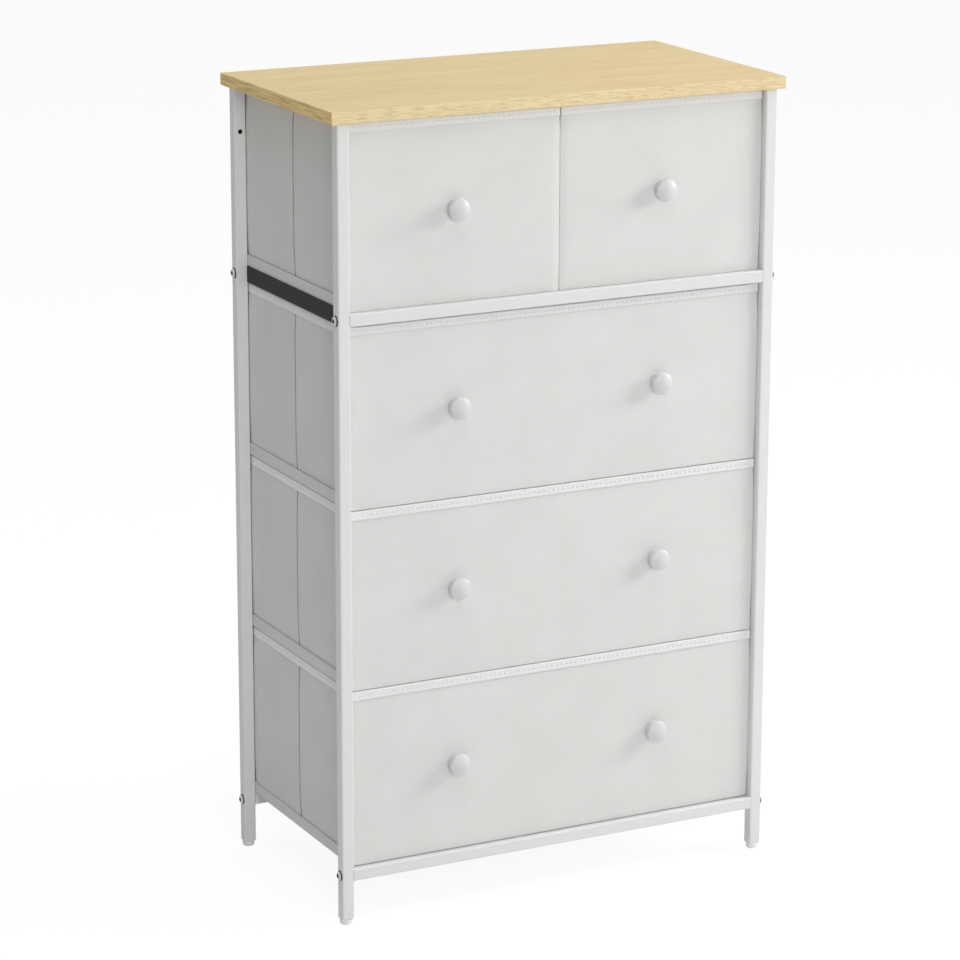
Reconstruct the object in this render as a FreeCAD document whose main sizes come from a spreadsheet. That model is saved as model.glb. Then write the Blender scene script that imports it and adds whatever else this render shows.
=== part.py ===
# Fabric drawer dresser: a bolted steel tube frame, a board top, and two small and three wide drawers.
# Millimetres, +Z up, the front looks along -Y, and the origin is under the middle of the whole dresser.
import FreeCAD, Part
import math
import os
import Sketcher
from FreeCAD import Placement, Rotation, Vector

# Every size that can be set by itself
SIZES = {
    # Board top
    "top_width": 600,
    "top_depth": 320,
    "top_thick": 15,
    "top_round": 1.2,
    # Tube frame
    "side_overhang": 9,
    "front_overhang": 5.5,
    "tube_side": 15,
    "tube_wall": 1.2,
    "tube_round": 1.8,
    "rail_clear": 55,
    "row_height": 221.5,
    "cap_thick": 2,
    "cap_reach": 22,
    "end_block": 8,
    # Angle runners
    "runner_leg": 15,
    "runner_wall": 1.5,
    "runner_bend": 0.5,
    "runner_setback": 12,
    # Divider panel under the small drawers
    "panel_gap": 0.4,
    "panel_edge_thick": 1.2,
    "panel_edge_high": 20,
    "tab_thick": 1.5,
    "tab_reach": 14,
    "tab_width": 24,
    "tab_spacing": 380,
    # Frame bolts
    "bolt_dia": 6,
    "bolt_head_dia": 13,
    "bolt_head_high": 3.2,
    "bolt_crown_dia": 7.4,
    "bolt_crown_bend": 4.5,
    "bolt_key": 4,
    "bolt_key_deep": 1.8,
    "hole_slack": 0.3,
    "thread_slack": 0.05,
    # Screws that hold the board
    "screw_dia": 4,
    "screw_head_dia": 8,
    "screw_head_high": 2.2,
    "screw_bite": 10,
    # Cross for the driver in every screw's head
    "cross_span": 4.4,
    "cross_width": 1.2,
    "cross_deep": 1.3,
    # Holes for a strap to the wall
    "anchor_dia": 6,
    "anchor_drop": 55,
    # Levelling feet
    "foot_dia": 15,
    "foot_high": 7,
    "foot_round": 2.6,
    "foot_seat": 0.3,
    "stem_dia": 6,
    "stem_long": 26,
    "stem_slack": 0.08,
    "insert_high": 20,
    "insert_slack": 0.05,
    "insert_round": 1,
    # Fabric drawers
    "front_recess": 8,
    "back_recess": 1.5,
    "side_gap": 0.6,
    "seat_gap": 0.3,
    "top_gap": 1.2,
    "middle_gap": 2.4,
    "cloth_thick": 1,
    "front_board": 5,
    "wall_board": 3,
    "floor_board": 3,
    "pocket_slack": 0.2,
    "board_slack": 0.3,
    "board_drop": 3,
    "corner_round": 4,
    "corner_seam": 8,
    "inner_round": 2,
    "fold_width": 6,
    "fold_groove": 2,
    "fold_deep": 0.8,
    "hem_high": 10.5,
    "hem_thick": 0.6,
    "hem_slack": 0.1,
    # Knobs
    "knob_spacing": 272,
    "knob_long": 17.5,
    "knob_base_dia": 21.5,
    "knob_base_thick": 3,
    "knob_base_edge": 0.8,
    "knob_head_dia": 27,
    "knob_rim": 3,
    "knob_dome": 24,
    "knob_waist": 2,
    "knob_hole_deep": 13,
    "knob_screw_dia": 4,
    "knob_screw_head_dia": 8,
    "knob_screw_head_high": 2.2,
    "knob_screw_bite": 11,
}

# Rows of wide drawers, from the floor up
WIDE_ROWS = ("lower", "middle", "upper")

# Heights, half widths and fits worked out from the sizes
PLACES = {
    "half_width": "Sizes.top_width / 2 - Sizes.side_overhang",
    "half_depth": "Sizes.top_depth / 2 - Sizes.front_overhang",
    "inner_half": "Places.half_width - Sizes.tube_side",
    "inner_depth": "Places.half_depth - Sizes.tube_side",
    "post_x": "Places.half_width - Sizes.tube_side / 2",
    "post_y": "Places.half_depth - Sizes.tube_side / 2",
    "tube_bore": "Sizes.tube_side - 2 * Sizes.tube_wall",
    "tube_bore_round": "Sizes.tube_round - Sizes.tube_wall",
    "tube_bottom": "Sizes.foot_high + Sizes.foot_seat",
    "lower_seat": "Sizes.rail_clear + Sizes.tube_side",
    "upper_rail": f"Places.lower_seat + {len(WIDE_ROWS)} * Sizes.row_height",
    "upper_seat": "Places.upper_rail + Sizes.tube_side",
    "board_bottom": "Places.upper_seat + Sizes.row_height",
    "cap_bottom": "Places.board_bottom - Sizes.cap_thick",
    "cap_screw_y": "Places.inner_depth - Sizes.cap_reach / 2",
    "panel_top": "Places.upper_seat + Sizes.runner_wall",
    "panel_thick": "Sizes.tube_side + Sizes.runner_wall - Sizes.tab_thick",
    "centre_y": "(Places.half_depth - Sizes.front_recess + Sizes.knob_long - Sizes.top_depth / 2) / 2",
    "drawer_reach": "Places.inner_half - Sizes.runner_wall - Sizes.side_gap",
    "wide_width": "2 * Places.drawer_reach",
    "small_width": "Places.drawer_reach - Sizes.middle_gap / 2",
    "small_centre": "(Places.drawer_reach + Sizes.middle_gap / 2) / 2",
    "drawer_front": "Places.centre_y - Places.half_depth + Sizes.front_recess",
    "drawer_depth": "2 * Places.half_depth - Sizes.front_recess - Sizes.back_recess",
    "drawer_lift": "Sizes.runner_wall + Sizes.seat_gap",
    "drawer_high": "Sizes.row_height - Places.drawer_lift - Sizes.top_gap",
    "bag_high": "Places.drawer_high - Sizes.hem_thick",
    "front_wall": "2 * Sizes.cloth_thick + Sizes.front_board + Sizes.pocket_slack",
    "side_wall": "2 * Sizes.cloth_thick + Sizes.wall_board + Sizes.pocket_slack",
    "inside_depth": "Places.drawer_depth - Places.front_wall - Places.side_wall",
    "inside_middle": "Places.front_wall + Places.inside_depth / 2",
    "fold_y": "Places.drawer_depth / 2",
    "knob_rim_reach": "Sizes.knob_head_dia / 2 - Sizes.knob_rim",
    "knob_dome_run": "Sizes.knob_dome - Sizes.knob_rim",
    "knob_dome_rise": "sqrt(Places.knob_dome_run ^ 2 - Places.knob_rim_reach ^ 2)",
    "knob_dome_base": "Sizes.knob_long - Sizes.knob_dome",
    "knob_rim_middle": "Places.knob_dome_base + Places.knob_dome_rise",
    "knob_bend_x": "Places.knob_rim_reach + Sizes.knob_rim * sqrt(0.5)",
    "knob_bend_y": "Places.knob_rim_middle - Sizes.knob_rim * sqrt(0.5)",
    "knob_foot_x": "Sizes.knob_base_dia / 2 - Sizes.knob_base_edge",
    "knob_chord_x": "Places.knob_bend_x - Places.knob_foot_x",
    "knob_chord_y": "Places.knob_bend_y - Sizes.knob_base_thick",
    "knob_chord_half": "sqrt(Places.knob_chord_x ^ 2 + Places.knob_chord_y ^ 2) / 2",
    "knob_waist_bend": "(Places.knob_chord_half ^ 2 + Sizes.knob_waist ^ 2) / (2 * Sizes.knob_waist)",
}

# Width, height and corner radius of the frame's tube, outside and inside
TUBE_OUTSIDE = ("Sizes.tube_side", "Sizes.tube_side", "Sizes.tube_round")
TUBE_INSIDE = ("Places.tube_bore", "Places.tube_bore", "Places.tube_bore_round")

# Undersides of the cross rails
RAIL_BOTTOMS = {"lower": "Sizes.rail_clear", "upper": "Places.upper_rail"}

# Flats of the key socket in a bolt's head
KEY_FLATS = 6

# Turns of pieces that are drawn upright and lie along the dresser's width or stand out of its front
ALONG_WIDTH = Rotation(Vector(0, 1, 0), 90)
OUT_OF_FRONT = Rotation(Vector(1, 0, 0), 90)

doc = FreeCAD.newDocument("fabric_drawer_dresser")
nodes = {}


def fill_sheets():
    """Write the sizes as plain numbers and the places as formulas, each under its own alias."""
    sizes = doc.addObject("Spreadsheet::Sheet", "Sizes")
    for row, (name, number) in enumerate(SIZES.items(), start=1):
        sizes.set(f"A{row}", name)
        sizes.set(f"B{row}", str(number))
        sizes.setAlias(f"B{row}", name)
    places = doc.addObject("Spreadsheet::Sheet", "Places")
    for row, name in enumerate(PLACES, start=1):
        places.set(f"A{row}", name)
        places.setAlias(f"B{row}", name)
    for row, formula in enumerate(PLACES.values(), start=1):
        places.set(f"B{row}", "=" + formula.replace("Places.", ""))
    doc.recompute()
    return sizes


sheet = fill_sheets()


def value(expression):
    """Work out an expression at the sheets' present numbers."""
    return float(sheet.evalExpression(expression))


def bind_place(sketch, geometry, end, across, up):
    """Fix one point of a sketch at two expressions measured from the sketch's origin."""
    for kind, expression in (("DistanceX", across), ("DistanceY", up)):
        fixed = sketch.addConstraint(Sketcher.Constraint(kind, -1, 1, geometry, end, value(expression)))
        sketch.setExpression(f"Constraints[{fixed}]", expression)


def bind_radius(sketch, geometry, radius):
    """Tie the radius of an arc or circle to an expression."""
    fixed = sketch.addConstraint(Sketcher.Constraint("Radius", geometry, value(radius)))
    sketch.setExpression(f"Constraints[{fixed}]", radius)


def arc_between(start, end, radius):
    """The short arc that runs counter-clockwise from start to end."""
    chord = end - start
    side = Vector(-chord.y, chord.x, 0).normalize()
    rise = math.sqrt(max(radius ** 2 - (chord.Length / 2) ** 2, 0))
    centre = (start + end) * 0.5 + side * rise
    first = math.atan2(start.y - centre.y, start.x - centre.x)
    last = math.atan2(end.y - centre.y, end.x - centre.x)
    return Part.ArcOfCircle(Part.Circle(centre, Vector(0, 0, 1), radius), first, last)


def draw_loop(sketch, corners):
    """Draw a closed outline. A corner is (across, up), and (turn, radius) after them if an arc leaves it."""
    spots = [Vector(value(corner[0]), value(corner[1]), 0) for corner in corners]
    ends = []
    for index, corner in enumerate(corners):
        start = spots[index]
        end = spots[(index + 1) % len(spots)]
        if len(corner) == 2:
            geometry = sketch.addGeometry(Part.LineSegment(start, end))
            ends.append((geometry, 1, 2))
            continue
        turn, radius = corner[2]
        if turn == "left":
            geometry = sketch.addGeometry(arc_between(start, end, value(radius)))
            ends.append((geometry, 1, 2))
        else:
            geometry = sketch.addGeometry(arc_between(end, start, value(radius)))
            ends.append((geometry, 2, 1))
        bind_radius(sketch, geometry, radius)
    for index, (geometry, first, last) in enumerate(ends):
        follower, follower_first, _ = ends[(index + 1) % len(ends)]
        sketch.addConstraint(Sketcher.Constraint("Coincident", geometry, last, follower, follower_first))
        bind_place(sketch, geometry, first, corners[index][0], corners[index][1])


def draw_circle(sketch, across, up, radius):
    """Draw a circle whose middle and radius follow expressions."""
    circle = Part.Circle(Vector(value(across), value(up), 0), Vector(0, 0, 1), value(radius))
    geometry = sketch.addGeometry(circle)
    bind_place(sketch, geometry, 3, across, up)
    bind_radius(sketch, geometry, radius)


def rectangle(across_low, up_low, across_high, up_high):
    """The corners of a rectangle between two opposite corners."""
    return [(across_low, up_low), (across_high, up_low), (across_high, up_high), (across_low, up_high)]


def rounded_rectangle(across, up, width, height, radius):
    """The corners of a rectangle with round corners, given by its middle and its size."""
    left = f"{across} - ({width}) / 2"
    right = f"{across} + ({width}) / 2"
    low = f"{up} - ({height}) / 2"
    high = f"{up} + ({height}) / 2"
    bend = ("left", radius)
    return [
        (f"{left} + {radius}", low),
        (f"{right} - {radius}", low, bend),
        (right, f"{low} + {radius}"),
        (right, f"{high} - {radius}", bend),
        (f"{right} - {radius}", high),
        (f"{left} + {radius}", high, bend),
        (left, f"{high} - {radius}"),
        (left, f"{low} + {radius}", bend),
    ]


def new_body(label, across="0", along="Places.centre_y", up="0", turn=Rotation()):
    """Start a body that stands at three expressions, turned from upright where it lies along another axis."""
    body = doc.addObject("PartDesign::Body", label)
    body.Label = label
    body.Placement = Placement(Vector(), turn)
    body.setExpression("Placement.Base.x", across)
    body.setExpression("Placement.Base.y", along)
    body.setExpression("Placement.Base.z", up)
    return body


def origin_feature(body, role):
    """One of the body's own origin planes or axes."""
    return next(feature for feature in body.Origin.OriginFeatures if feature.Role == role)


def new_sketch(body, role, level="0", loops=(), circles=()):
    """Draw loops and circles on a plane of the body, moved along the plane's normal by level."""
    sketch = body.newObject("Sketcher::SketchObject", body.Name + "_sketch")
    sketch.AttachmentSupport = [(origin_feature(body, role), "")]
    sketch.MapMode = "FlatFace"
    sketch.setExpression("AttachmentOffset.Base.z", level)
    for loop in loops:
        draw_loop(sketch, loop)
    for circle in circles:
        draw_circle(sketch, *circle)
    return sketch


def pad(body, sketch, length, both_ways=False):
    """Extrude a sketch along its normal, or half each way."""
    feature = body.newObject("PartDesign::Pad", body.Name + "_pad")
    feature.Profile = sketch
    feature.setExpression("Length", length)
    if both_ways:
        feature.SideType = "Symmetric"
    return feature


def pocket(body, sketch, length=None, forwards=False):
    """Cut a sketch against its normal, or along it, by a length, or right through both ways without one."""
    feature = body.newObject("PartDesign::Pocket", body.Name + "_pocket")
    feature.Profile = sketch
    if length is None:
        feature.SideType = "Symmetric"
        feature.Type = "ThroughAll"
    else:
        feature.Reversed = forwards
        feature.setExpression("Length", length)
    return feature


def revolve(body, profile):
    """Turn a half profile, drawn as radius and height, once round the body's own upright axis."""
    feature = body.newObject("PartDesign::Revolution", body.Name + "_turn")
    feature.Profile = new_sketch(body, "XZ_Plane", loops=[profile])
    feature.ReferenceAxis = (origin_feature(body, "Z_Axis"), [""])
    feature.Angle = 360
    return feature


def mirrored(source, label, direction):
    """The mirror image of a piece across the dresser's middle plane."""
    image = doc.addObject("Part::Mirroring", label)
    image.Label = label
    image.Source = source
    image.Normal = direction
    image.setExpression("Base.y", "Places.centre_y")
    return image


def grouped(label, pieces):
    """Several equal pieces under one name."""
    group = doc.addObject("Part::Compound", label)
    group.Label = label
    group.Links = pieces
    return group


def at_four_corners(body, name):
    """A piece of the left front corner and its images at the other three corners."""
    right_front = mirrored(body, f"right_front_{name}", Vector(1, 0, 0))
    left_rear = mirrored(body, f"left_rear_{name}", Vector(0, 1, 0))
    right_rear = mirrored(right_front, f"right_rear_{name}", Vector(0, 1, 0))
    return [body, right_front, left_rear, right_rear]


def keep(piece, label):
    """List a finished piece under its node's name."""
    nodes[label] = piece


def build_top_board():
    """Board top with eased edges and pilot holes for its four screws."""
    body = new_body("top_board")
    outline = rectangle(
        "-Sizes.top_width / 2",
        "-Sizes.top_depth / 2",
        "Sizes.top_width / 2",
        "Sizes.top_depth / 2",
    )
    board = pad(body, new_sketch(body, "XY_Plane", "Places.board_bottom", [outline]), "Sizes.top_thick")
    ease = body.newObject("PartDesign::Fillet", "top_board_ease")
    ease.Base = (board, [""])
    ease.UseAllEdges = True
    ease.setExpression("Radius", "Sizes.top_round")
    pilots = [
        (f"{x} * Places.post_x", f"{y} * Places.cap_screw_y", "Sizes.screw_dia / 2 + Sizes.thread_slack")
        for x in (-1, 1)
        for y in (-1, 1)
    ]
    drilled = new_sketch(body, "XY_Plane", "Places.board_bottom", circles=pilots)
    pocket(body, drilled, "Sizes.screw_bite + Sizes.hole_slack", forwards=True)
    keep(body, "top_board")


def build_post(label, depth_side, has_anchor_hole):
    """Left square tube post with its welded cap plate, bolt holes and, at the rear, a strap hole."""
    body = new_body(label)
    middle_y = f"{depth_side} * Places.post_y"
    tube = [rounded_rectangle("-Places.post_x", middle_y, *size) for size in (TUBE_OUTSIDE, TUBE_INSIDE)]
    sketch = new_sketch(body, "XY_Plane", "Places.tube_bottom", tube)
    pad(body, sketch, "Places.board_bottom - Places.tube_bottom")
    cap = rounded_rectangle(
        "-Places.post_x",
        f"{depth_side} * (Places.half_depth - (Sizes.tube_side + Sizes.cap_reach) / 2)",
        "Sizes.tube_side",
        "Sizes.tube_side + Sizes.cap_reach",
        "Sizes.tube_round",
    )
    pad(body, new_sketch(body, "XY_Plane", "Places.cap_bottom", [cap]), "Sizes.cap_thick")
    screw_radius = "Sizes.screw_dia / 2 + Sizes.hole_slack"
    screw_hole = ("-Places.post_x", f"{depth_side} * Places.cap_screw_y", screw_radius)
    pocket(body, new_sketch(body, "XY_Plane", "Places.cap_bottom", circles=[screw_hole]))
    bolt_holes = [
        (middle_y, f"{bottom} + Sizes.tube_side / 2", "Sizes.bolt_dia / 2 + Sizes.hole_slack")
        for bottom in RAIL_BOTTOMS.values()
    ]
    pocket(body, new_sketch(body, "YZ_Plane", circles=bolt_holes))
    if has_anchor_hole:
        anchor_hole = ("-Places.post_x", "Places.board_bottom - Sizes.anchor_drop", "Sizes.anchor_dia / 2")
        pocket(body, new_sketch(body, "XZ_Plane", circles=[anchor_hole]))
    return body


def build_posts():
    """Two posts on the left and their images on the right."""
    for place, depth_side, has_anchor_hole in (("front", -1, False), ("rear", 1, True)):
        left = build_post(f"left_{place}_post", depth_side, has_anchor_hole)
        keep(left, f"left_{place}_post")
        keep(mirrored(left, f"right_{place}_post", Vector(1, 0, 0)), f"right_{place}_post")


def build_rail(label, bottom, carries_panel):
    """Front cross rail: a tube with a tapped block in each end, and tabs under the divider panel."""
    body = new_body(label)
    middle_y = "-Places.post_y"
    middle_z = f"{bottom} + Sizes.tube_side / 2"
    outline = rounded_rectangle(middle_y, middle_z, *TUBE_OUTSIDE)
    bore = rounded_rectangle(middle_y, middle_z, *TUBE_INSIDE)
    pad(body, new_sketch(body, "YZ_Plane", loops=[outline, bore]), "2 * Places.inner_half", both_ways=True)
    for level in ("-Places.inner_half", "Places.inner_half - Sizes.end_block"):
        pad(body, new_sketch(body, "YZ_Plane", level, [bore]), "Sizes.end_block")
    tapped = (middle_y, middle_z, "Sizes.bolt_dia / 2 + Sizes.thread_slack")
    pocket(body, new_sketch(body, "YZ_Plane", circles=[tapped]))
    if carries_panel:
        tabs = [
            rectangle(
                f"{side} * Sizes.tab_spacing / 2 - Sizes.tab_width / 2",
                "-Places.inner_depth - Sizes.tube_round",
                f"{side} * Sizes.tab_spacing / 2 + Sizes.tab_width / 2",
                "-Places.inner_depth + Sizes.tab_reach",
            )
            for side in (-1, 1)
        ]
        level = "Places.panel_top - Places.panel_thick - Sizes.tab_thick"
        pad(body, new_sketch(body, "XY_Plane", level, tabs), "Sizes.tab_thick")
    return body


def build_rails():
    """Cross rails at two heights, front and rear."""
    for place, bottom in RAIL_BOTTOMS.items():
        front = build_rail(f"front_{place}_rail", bottom, carries_panel=place == "upper")
        keep(front, f"front_{place}_rail")
        keep(mirrored(front, f"rear_{place}_rail", Vector(0, 1, 0)), f"rear_{place}_rail")


def build_runner(label, seat):
    """Left angle runner, bent from sheet, against the posts' inner faces."""
    body = new_body(label)
    outer = "-Places.inner_half"
    inner = f"{outer} + Sizes.runner_wall"
    tip = f"{outer} + Sizes.runner_leg"
    floor = f"{seat} + Sizes.runner_wall"
    outer_bend = "Sizes.runner_bend + Sizes.runner_wall"
    angle = [
        (outer, f"{seat} + {outer_bend}", ("left", outer_bend)),
        (f"{outer} + {outer_bend}", seat),
        (tip, seat),
        (tip, floor),
        (f"{inner} + Sizes.runner_bend", floor, ("right", "Sizes.runner_bend")),
        (inner, f"{floor} + Sizes.runner_bend"),
        (inner, f"{seat} + Sizes.runner_leg"),
        (outer, f"{seat} + Sizes.runner_leg"),
    ]
    sketch = new_sketch(body, "XZ_Plane", "-Places.half_depth", [angle])
    pad(body, sketch, "2 * Places.half_depth - Sizes.runner_setback")
    return body


def build_runners():
    """Four pairs of runners, one pair under each row of drawers."""
    seats = {place: f"Places.lower_seat + {row} * Sizes.row_height" for row, place in enumerate(WIDE_ROWS)}
    seats["top"] = "Places.upper_seat"
    for place, seat in seats.items():
        left = build_runner(f"left_{place}_runner", seat)
        keep(left, f"left_{place}_runner")
        keep(mirrored(left, f"right_{place}_runner", Vector(1, 0, 0)), f"right_{place}_runner")


def build_divider_panel():
    """Panel under the small drawers, rebated for the top runners, with an edge strip outside each of them."""
    body = new_body("divider_panel")
    half_width = "Places.inner_half + Sizes.panel_gap"
    half_depth = "Places.inner_depth - Sizes.panel_gap"
    outline = rectangle(f"-({half_width})", f"-({half_depth})", half_width, half_depth)
    bottom = "Places.panel_top - Places.panel_thick"
    pad(body, new_sketch(body, "XY_Plane", bottom, [outline]), "Places.panel_thick")
    rebates = [
        rectangle(
            f"{side} * (Places.inner_half - Sizes.runner_leg - Sizes.panel_gap)",
            "-Places.inner_depth",
            f"{side} * ({half_width})",
            "Places.inner_depth",
        )
        for side in (-1, 1)
    ]
    pocket(body, new_sketch(body, "XY_Plane", "Places.panel_top", rebates), "Sizes.runner_wall")
    strips = [
        rectangle(
            f"{side} * ({half_width})",
            f"-({half_depth})",
            f"{side} * ({half_width} + Sizes.panel_edge_thick)",
            half_depth,
        )
        for side in (-1, 1)
    ]
    level = "Places.panel_top - Sizes.panel_edge_high"
    pad(body, new_sketch(body, "XY_Plane", level, strips), "Sizes.panel_edge_high")
    keep(body, "divider_panel")


def build_frame_bolts():
    """Button head bolts through the posts into the ends of the rails."""
    bolts = []
    reach = "Sizes.tube_side + Sizes.end_block"
    for place, bottom in RAIL_BOTTOMS.items():
        middle_z = f"{bottom} + Sizes.tube_side / 2"
        body = new_body(
            f"{place}_bolt",
            "-Places.half_width",
            "Places.centre_y - Places.post_y",
            middle_z,
            ALONG_WIDTH,
        )
        profile = [
            ("0", "-Sizes.bolt_head_high"),
            ("Sizes.bolt_crown_dia / 2", "-Sizes.bolt_head_high", ("left", "Sizes.bolt_crown_bend")),
            ("Sizes.bolt_head_dia / 2", "0"),
            ("Sizes.bolt_dia / 2", "0"),
            ("Sizes.bolt_dia / 2", reach),
            ("0", reach),
        ]
        revolve(body, profile)
        corner_reach = "Sizes.bolt_key / sqrt(3)"
        turns = [f"{360 * corner // KEY_FLATS} deg" for corner in range(KEY_FLATS)]
        key = [(f"{corner_reach} * cos({turn})", f"{corner_reach} * sin({turn})") for turn in turns]
        socket = new_sketch(body, "XY_Plane", "-Sizes.bolt_head_high", [key])
        pocket(body, socket, "Sizes.bolt_key_deep", forwards=True)
        bolts += at_four_corners(body, f"{place}_bolt")
    keep(grouped("frame_bolts", bolts), "frame_bolts")


def build_pan_head_screw(body, length, thread_dia, head_dia, head_high):
    """Pan head screw: the head below zero with a cross for the driver, the shank above it."""
    profile = [
        ("0", f"-{head_high}"),
        (f"{head_dia} / 2 - {head_high} / 2", f"-{head_high}", ("left", f"{head_high} / 2")),
        (f"{head_dia} / 2", f"-{head_high} / 2"),
        (f"{head_dia} / 2", "0"),
        (f"{thread_dia} / 2", "0"),
        (f"{thread_dia} / 2", length),
        ("0", length),
    ]
    revolve(body, profile)
    tip = "Sizes.cross_span / 2"
    edge = "Sizes.cross_width / 2"
    cross = [
        (f"-{tip}", f"-{edge}"),
        (f"-{edge}", f"-{edge}"),
        (f"-{edge}", f"-{tip}"),
        (edge, f"-{tip}"),
        (edge, f"-{edge}"),
        (tip, f"-{edge}"),
        (tip, edge),
        (edge, edge),
        (edge, tip),
        (f"-{edge}", tip),
        (f"-{edge}", edge),
        (f"-{tip}", edge),
    ]
    pocket(body, new_sketch(body, "XY_Plane", f"-{head_high}", [cross]), "Sizes.cross_deep", forwards=True)


def build_top_screws():
    """Screws up through the cap plates into the board."""
    along = "Places.centre_y - Places.cap_screw_y"
    body = new_body("top_screw", "-Places.post_x", along, "Places.cap_bottom")
    build_pan_head_screw(
        body,
        "Sizes.cap_thick + Sizes.screw_bite",
        "Sizes.screw_dia",
        "Sizes.screw_head_dia",
        "Sizes.screw_head_high",
    )
    keep(grouped("top_screws", at_four_corners(body, "top_screw")), "top_screws")


def build_feet():
    """Threaded inserts in the posts' lower ends, and levelling feet screwed into them."""
    corner = ("-Places.post_x", "Places.centre_y - Places.post_y")
    insert = new_body("foot_insert", *corner, "Places.tube_bottom")
    side = "Places.tube_bore - 2 * Sizes.insert_slack"
    plug = rounded_rectangle("0", "0", side, side, "Sizes.insert_round")
    thread = ("0", "0", "Sizes.stem_dia / 2 + Sizes.stem_slack")
    pad(insert, new_sketch(insert, "XY_Plane", loops=[plug], circles=[thread]), "Sizes.insert_high")
    keep(grouped("foot_inserts", at_four_corners(insert, "foot_insert")), "foot_inserts")
    foot = new_body("left_front_foot", *corner)
    stem_top = "Sizes.foot_high + Sizes.stem_long"
    profile = [
        ("0", "0"),
        ("Sizes.foot_dia / 2 - Sizes.foot_round", "0", ("left", "Sizes.foot_round")),
        ("Sizes.foot_dia / 2", "Sizes.foot_round"),
        ("Sizes.foot_dia / 2", "Sizes.foot_high"),
        ("Sizes.stem_dia / 2", "Sizes.foot_high"),
        ("Sizes.stem_dia / 2", stem_top),
        ("0", stem_top),
    ]
    revolve(foot, profile)
    for piece in at_four_corners(foot, "foot"):
        keep(piece, piece.Label)


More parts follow.
